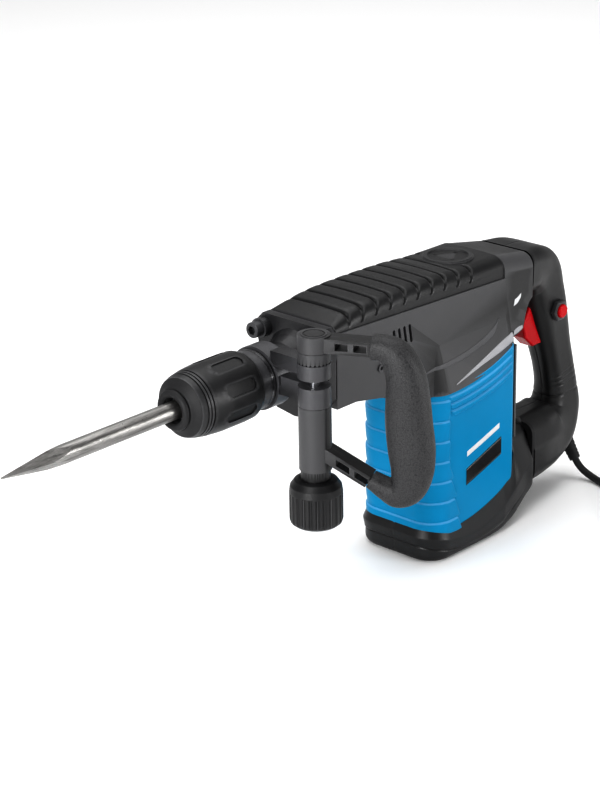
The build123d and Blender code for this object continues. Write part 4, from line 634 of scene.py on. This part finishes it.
def make_base():
    """Black foot and limb: a bevelled upper band, a seam above the rounded sole."""
    x, y, nx, ny = base_loop().T
    low = np.maximum(0, BASE_SOLE(x))
    limb = step(x, 66, 67.5)  # 0 under the housing, 1 behind it
    high = FOOT_EDGE(np.minimum(x, 67)) * (1 - limb) + LIMB_TOP * limb
    t = np.linspace(0, 1, 96)[:, None]
    t = 0.5 - 0.5 * np.cos(np.pi * t)  # finer near the sole and the rim
    z = low + (high - low) * t
    x, y, nx, ny, low, high, limb = (np.broadcast_to(v, z.shape)
                                     for v in (x, y, nx, ny, low, high, limb))
    crease, seam = BASE_CREASE(x), BASE_SEAM(x)
    forward = 1 - step(x, 60, 100)
    out = 1.6 * forward * step(z, seam, crease)
    out = out - 3.6 * forward * np.clip((z - crease) / np.maximum(high - crease, 1), 0, 1)
    out = out - 0.8 * forward * (1 - step(z, seam - 0.4, seam + 0.4))
    out = out - 1.2 * forward * np.exp(-((z - seam) / 0.8) ** 2)
    out = out - 0.5 * forward * (nx < -0.99) * np.exp(-(y / 0.7) ** 2)
    out = out - rounding(SOLE_R, z - low)
    out = out - limb * rounding(LIMB_TOP_R, high - z) * (np.abs(ny) > 0.2)
    # behind the housing the shoulder leans inwards, towards a narrow ridge
    lean = SHOULDER_LEAN * np.maximum(0, z - crease) * step(x, 64, 84)
    y = y * (1 - lean / LIMB_HALF)
    grid = np.stack([x + nx * out, y + ny * out, z], axis=-1)
    # the limb's top closes towards its middle, the foot's rim ends in a narrow inner lip
    edge, sole_edge = grid[-1:], grid[:1]
    flat = limb[-1:, :, None]
    middle = edge * np.array([1, 0, 1])
    lip = edge - np.stack([nx[-1:] * 5, ny[-1:] * 5, 0 * nx[-1:]], -1)
    inwards = (middle - edge) * flat + (lip - edge) * (1 - flat)
    rim = [edge + share * inwards for share in np.linspace(0, 1, 7)[1:]]
    centre = np.stack([np.clip(sole_edge[..., 0], -40, 90), 0 * x[:1], low[:1]], -1)
    sole = [centre + share * (sole_edge - centre) for share in np.linspace(0, 1, 7)[:-1]]
    return surface("base_shell", np.concatenate([*sole, grid, *rim]), MATERIALS["black_plastic"],
                   "body", ["base_cap"])


# ---- chuck's dust cap ------------------------------------------------------------------------
MOUTH_X = -390.0


def make_dust_cap():
    """Rubber cap: a rounded lip round the chisel, a hollow behind it and a flared skirt."""
    # distance behind the mouth and radius, from the bore over the lip to the skirt
    profile = [(14, 12.6), (4, 12.4)]
    for angle in np.radians(np.linspace(200, -60, 22)):
        profile.append((3.4 - 3.6 * math.sin(angle), 16.2 - 3.9 * math.cos(angle)))
    profile += list(smooth_path([(6.2, 20.6), (9, 23.6), (11.4, 27.4), (12.6, 29.0),
                                 (15, 29.3)], 8))
    profile += [(21.8, 29.3), (22, 28.6), (22, 24)]
    turn = np.linspace(0, 2 * np.pi, 128, endpoint=False)
    rows = [np.stack([MOUTH_X + along + 0 * turn, radius * np.sin(turn),
                      AXIS_Z + radius * np.cos(turn)], -1) for along, radius in profile]
    return surface("lip_cap", np.array(rows), MATERIALS["black_rubber"], "body",
                   ["dust_cap"], loop=True)


# ---- rear handle ---------------------------------------------------------------------------
HANDLE_STATIONS = [
    (109, 273.5, 80, 47, 14), (134, 270, 70, 50, 15), (156, 255, 56, 58, 17),
    (169, 230, 48, 56, 17), (178, 206, 45, 54, 17), (186, 184, 40, 51, 16),
    (193, 162, 37, 47.5, 15), (200, 138, 36, 47, 15), (205, 112, 39, 49, 16),
    (204, 88, 45, 58, 17), (190, 70, 55, 68, 18), (168, 64.5, 65, 72, 18),
    (143, 64, 73, 74, 17), (119, 64, 78, 74, 16),
]  # x, z, width, depth and corner radius along the handle
GRIP_GROOVES = [(132, 0.9, 0.6), (126, 0.9, 0.6), (120, 0.9, 0.6),
                (107, 1.1, 0.8)]  # height, width and depth of the grooves above the foot
SEAM_GAP, SEAM_EDGE = 0.25, 0.7  # the shells stand apart a little, with rounded edges
FOOT_LEAN = SHOULDER_LEAN * 0.95


def make_handle(side, hand):
    """One smooth shell of the rear handle, with finger grooves above its foot."""
    stations = smooth_path(HANDLE_STATIONS, 26)
    centres = stations[:, :2]
    along = np.gradient(centres, axis=0)
    along[0], along[-1] = (1, 0), (-1, 0)
    along /= np.linalg.norm(along, axis=1)[:, None]
    outward = np.stack([-along[:, 1], along[:, 0]], -1)
    turn = np.radians(np.linspace(0, 90, 16))
    flat = np.linspace(0, 1, 14, endpoint=False)
    wall = np.linspace(0, 1, 18)[1:-1]
    rows = []
    for (x, z, width, depth, corner), normal in zip(stations, outward):
        # half cross-section from the outer seam round the side to the inner seam
        across, up = width / 2 - corner, depth / 2 - corner
        from_seam = SEAM_EDGE + (across - SEAM_EDGE) * flat[1:]
        a = np.concatenate([[SEAM_GAP, SEAM_GAP, SEAM_EDGE], from_seam,
                            across + corner * np.sin(turn), np.full(16, width / 2),
                            across + corner * np.cos(turn), from_seam[::-1],
                            [SEAM_EDGE, SEAM_GAP, SEAM_GAP]])
        b = np.concatenate([[depth / 2 - 3, depth / 2 - 0.6, depth / 2], np.full(13, depth / 2),
                            up + corner * np.cos(turn), up - 2 * up * wall,
                            -up - corner * np.sin(turn), np.full(13, -depth / 2),
                            [-depth / 2, -depth / 2 + 0.6, -depth / 2 + 3]])
        if z < 90:  # the foot narrows towards its upper side
            rise = np.maximum(0, -b - 4) / (depth / 2 - 4)
            a = a * (1 - FOOT_LEAN * (1 - step(x, 150, 200)) * rise)
        if x > 150 and 95 < z < 150:
            for height, wide, deep in GRIP_GROOVES:
                dip = deep * math.exp(-((z - height) / wide) ** 2)
                face = step(a, width * 0.22, width * 0.4) if height > 110 else 1.0
                a = a - dip * face * (a > 1)
                b = b * (1 - dip * 0.04 * (height < 110))
        rows.append(np.stack([x + normal[0] * b, side * a, z + normal[1] * b], -1))
    return surface(f"rear_grip_{hand}", np.array(rows), MATERIALS["black_plastic"], "body",
                   [f"handle_{hand}"])


# ---- side grip -----------------------------------------------------------------------------
POST = np.array([-271.7, -72.7])
SWEEP_BACK = math.radians(26)
GRIP_STATIONS = [
    (56.8, 310.5, 9.5, 10.5), (58, 310.5, 12.2, 12.5), (68, 310.5, 12.8, 13.5),
    (80, 303.5, 16.2, 15.5), (88.6, 285, 18.6, 17), (90.8, 262, 21, 17.5),
    (91.8, 238, 22.4, 17.5), (94.4, 212, 22.6, 17.2), (95.2, 190, 20.4, 16.5),
    (91, 173.5, 17.6, 15.5), (81, 166.0, 14.2, 14), (70, 169.0, 11.0, 12.5),
    (60.0, 174.4, 9.0, 11.4), (54.6, 177.3, 8.0, 10.9),
]  # distance from the post, height, half depth in the handle's plane, half thickness


def make_side_grip():
    """Swelling D-grip of pebbled rubber."""
    stations = smooth_path(GRIP_STATIONS, 16)
    centres = stations[:, :2]
    along = np.gradient(centres, axis=0)
    along[:3] = (1, 0)
    along[-3:] = along[-4]
    along /= np.linalg.norm(along, axis=1)[:, None]
    outward = np.stack([-along[:, 1], along[:, 0]], -1)
    out = np.array([math.sin(SWEEP_BACK), -math.cos(SWEEP_BACK), 0])
    flat = np.array([math.cos(SWEEP_BACK), math.sin(SWEEP_BACK), 0])
    up = np.array([0, 0, 1])
    angle = np.linspace(0, 2 * np.pi, 72, endpoint=False)
    ring_a = np.sign(np.cos(angle)) * np.abs(np.cos(angle)) ** 0.85
    ring_b = np.sign(np.sin(angle)) * np.abs(np.sin(angle)) ** 0.85
    rows = []
    for (reach, height, deep, thick), normal in zip(stations, outward):
        centre = np.array([*POST, 0]) + out * reach + up * height
        in_plane = out * normal[0] + up * normal[1]
        rows.append(centre + deep * ring_a[:, None] * in_plane + thick * ring_b[:, None] * flat)
    return surface("d_grip", np.array(rows), MATERIALS["soft_grip"], "side_handle",
                   ["side_grip"], loop=True, caps=True)


# ---- mains lead --------------------------------------------------------------------------
CORD_D = 8.0
STRAIN_TOP, STRAIN_END = Vector((214, 0, 60)), Vector((218, -21, 22))
LEAD = [
    (219.5, -46.0), (212.0, -71.0), (191.0, -92.0), (164.0, -112.0),
    (143.0, -138.0), (132.0, -160.0), (132.0, -178.5),
]  # the lead's corners on the floor
COIL_CENTRE = (196.0, -200.0)
COIL_RADII = (64.0, 56.0, 48.0, 40.0, 32.0)
POINTS_PER_TURN = 24
PLUG_START_Y = -174.0


def cord_points():
    """Route of the lead: strain relief, floor, two layers of flat turns, plug."""
    down = (STRAIN_END - STRAIN_TOP).normalized()
    low, high = CORD_D / 2, CORD_D * 1.5
    points = [tuple(STRAIN_END), tuple(STRAIN_END + down * 11)]
    points += [(x, y, low) for x, y in LEAD]
    # inwards on the floor, then outwards on top of it, stepping from turn to turn at one place
    radii = list(COIL_RADII) + list(reversed(COIL_RADII))
    total = 2 * len(COIL_RADII) - 0.5
    steps = int(total * POINTS_PER_TURN)
    for i in range(1, steps + 1):
        turns = i / POINTS_PER_TURN
        whole = int(turns)
        part = turns - whole
        here = radii[whole]
        following = radii[min(whole + 1, len(radii) - 1)]
        blend = max(0.0, (part - 0.8) / 0.2)
        blend = blend * blend * (3 - 2 * blend)
        radius = here + (following - here) * blend
        climb = min(1.0, max(0.0, (turns - len(COIL_RADII) + 0.25) / 0.3))
        angle = math.pi + 2 * math.pi * turns
        points.append((COIL_CENTRE[0] + radius * math.cos(angle),
                       COIL_CENTRE[1] + radius * math.sin(angle),
                       low + (high - low) * climb))
    points.append((COIL_CENTRE[0] + COIL_RADII[0], COIL_CENTRE[1] + 15, high))
    points.append((COIL_CENTRE[0] + COIL_RADII[0], PLUG_START_Y + 3, high))
    return points


def make_cord(material):
    """The lead as a round curve, which replaces the CAD lead and its coil."""
    curve = bpy.data.curves.new("mains_lead", "CURVE")
    curve.dimensions = "3D"
    curve.bevel_depth = CORD_D / 2 * MM
    curve.bevel_resolution = 6
    curve.resolution_u = 6
    curve.use_fill_caps = True
    spline = curve.splines.new("NURBS")
    points = cord_points()
    spline.points.add(len(points) - 1)
    for point, place in zip(spline.points, points):
        point.co = (*(c * MM for c in place), 1)
    spline.order_u = 3
    spline.use_endpoint_u = True
    curve.materials.append(material)
    cord = bpy.data.objects.new("mains_lead", curve)
    bpy.context.scene.collection.objects.link(cord)
    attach(cord, "body")
    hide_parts("mains_cord", "cord_coil")


# ---- put together ------------------------------------------------------------------------
make_camera()
make_studio()
MATERIALS = make_materials()
make_cord(MATERIALS["black_rubber"])

make_motor_housing()
make_top_cover()
make_trims()
make_handle(-1, "left")
make_handle(1, "right")
make_side_grip()
make_base()
make_dust_cap()

for part in frame["record"]["subparts"]:
    node = frame["nodes"][part["node"]]
    for slot in node.material_slots:
        slot.material = MATERIALS[part["material_slot"]]
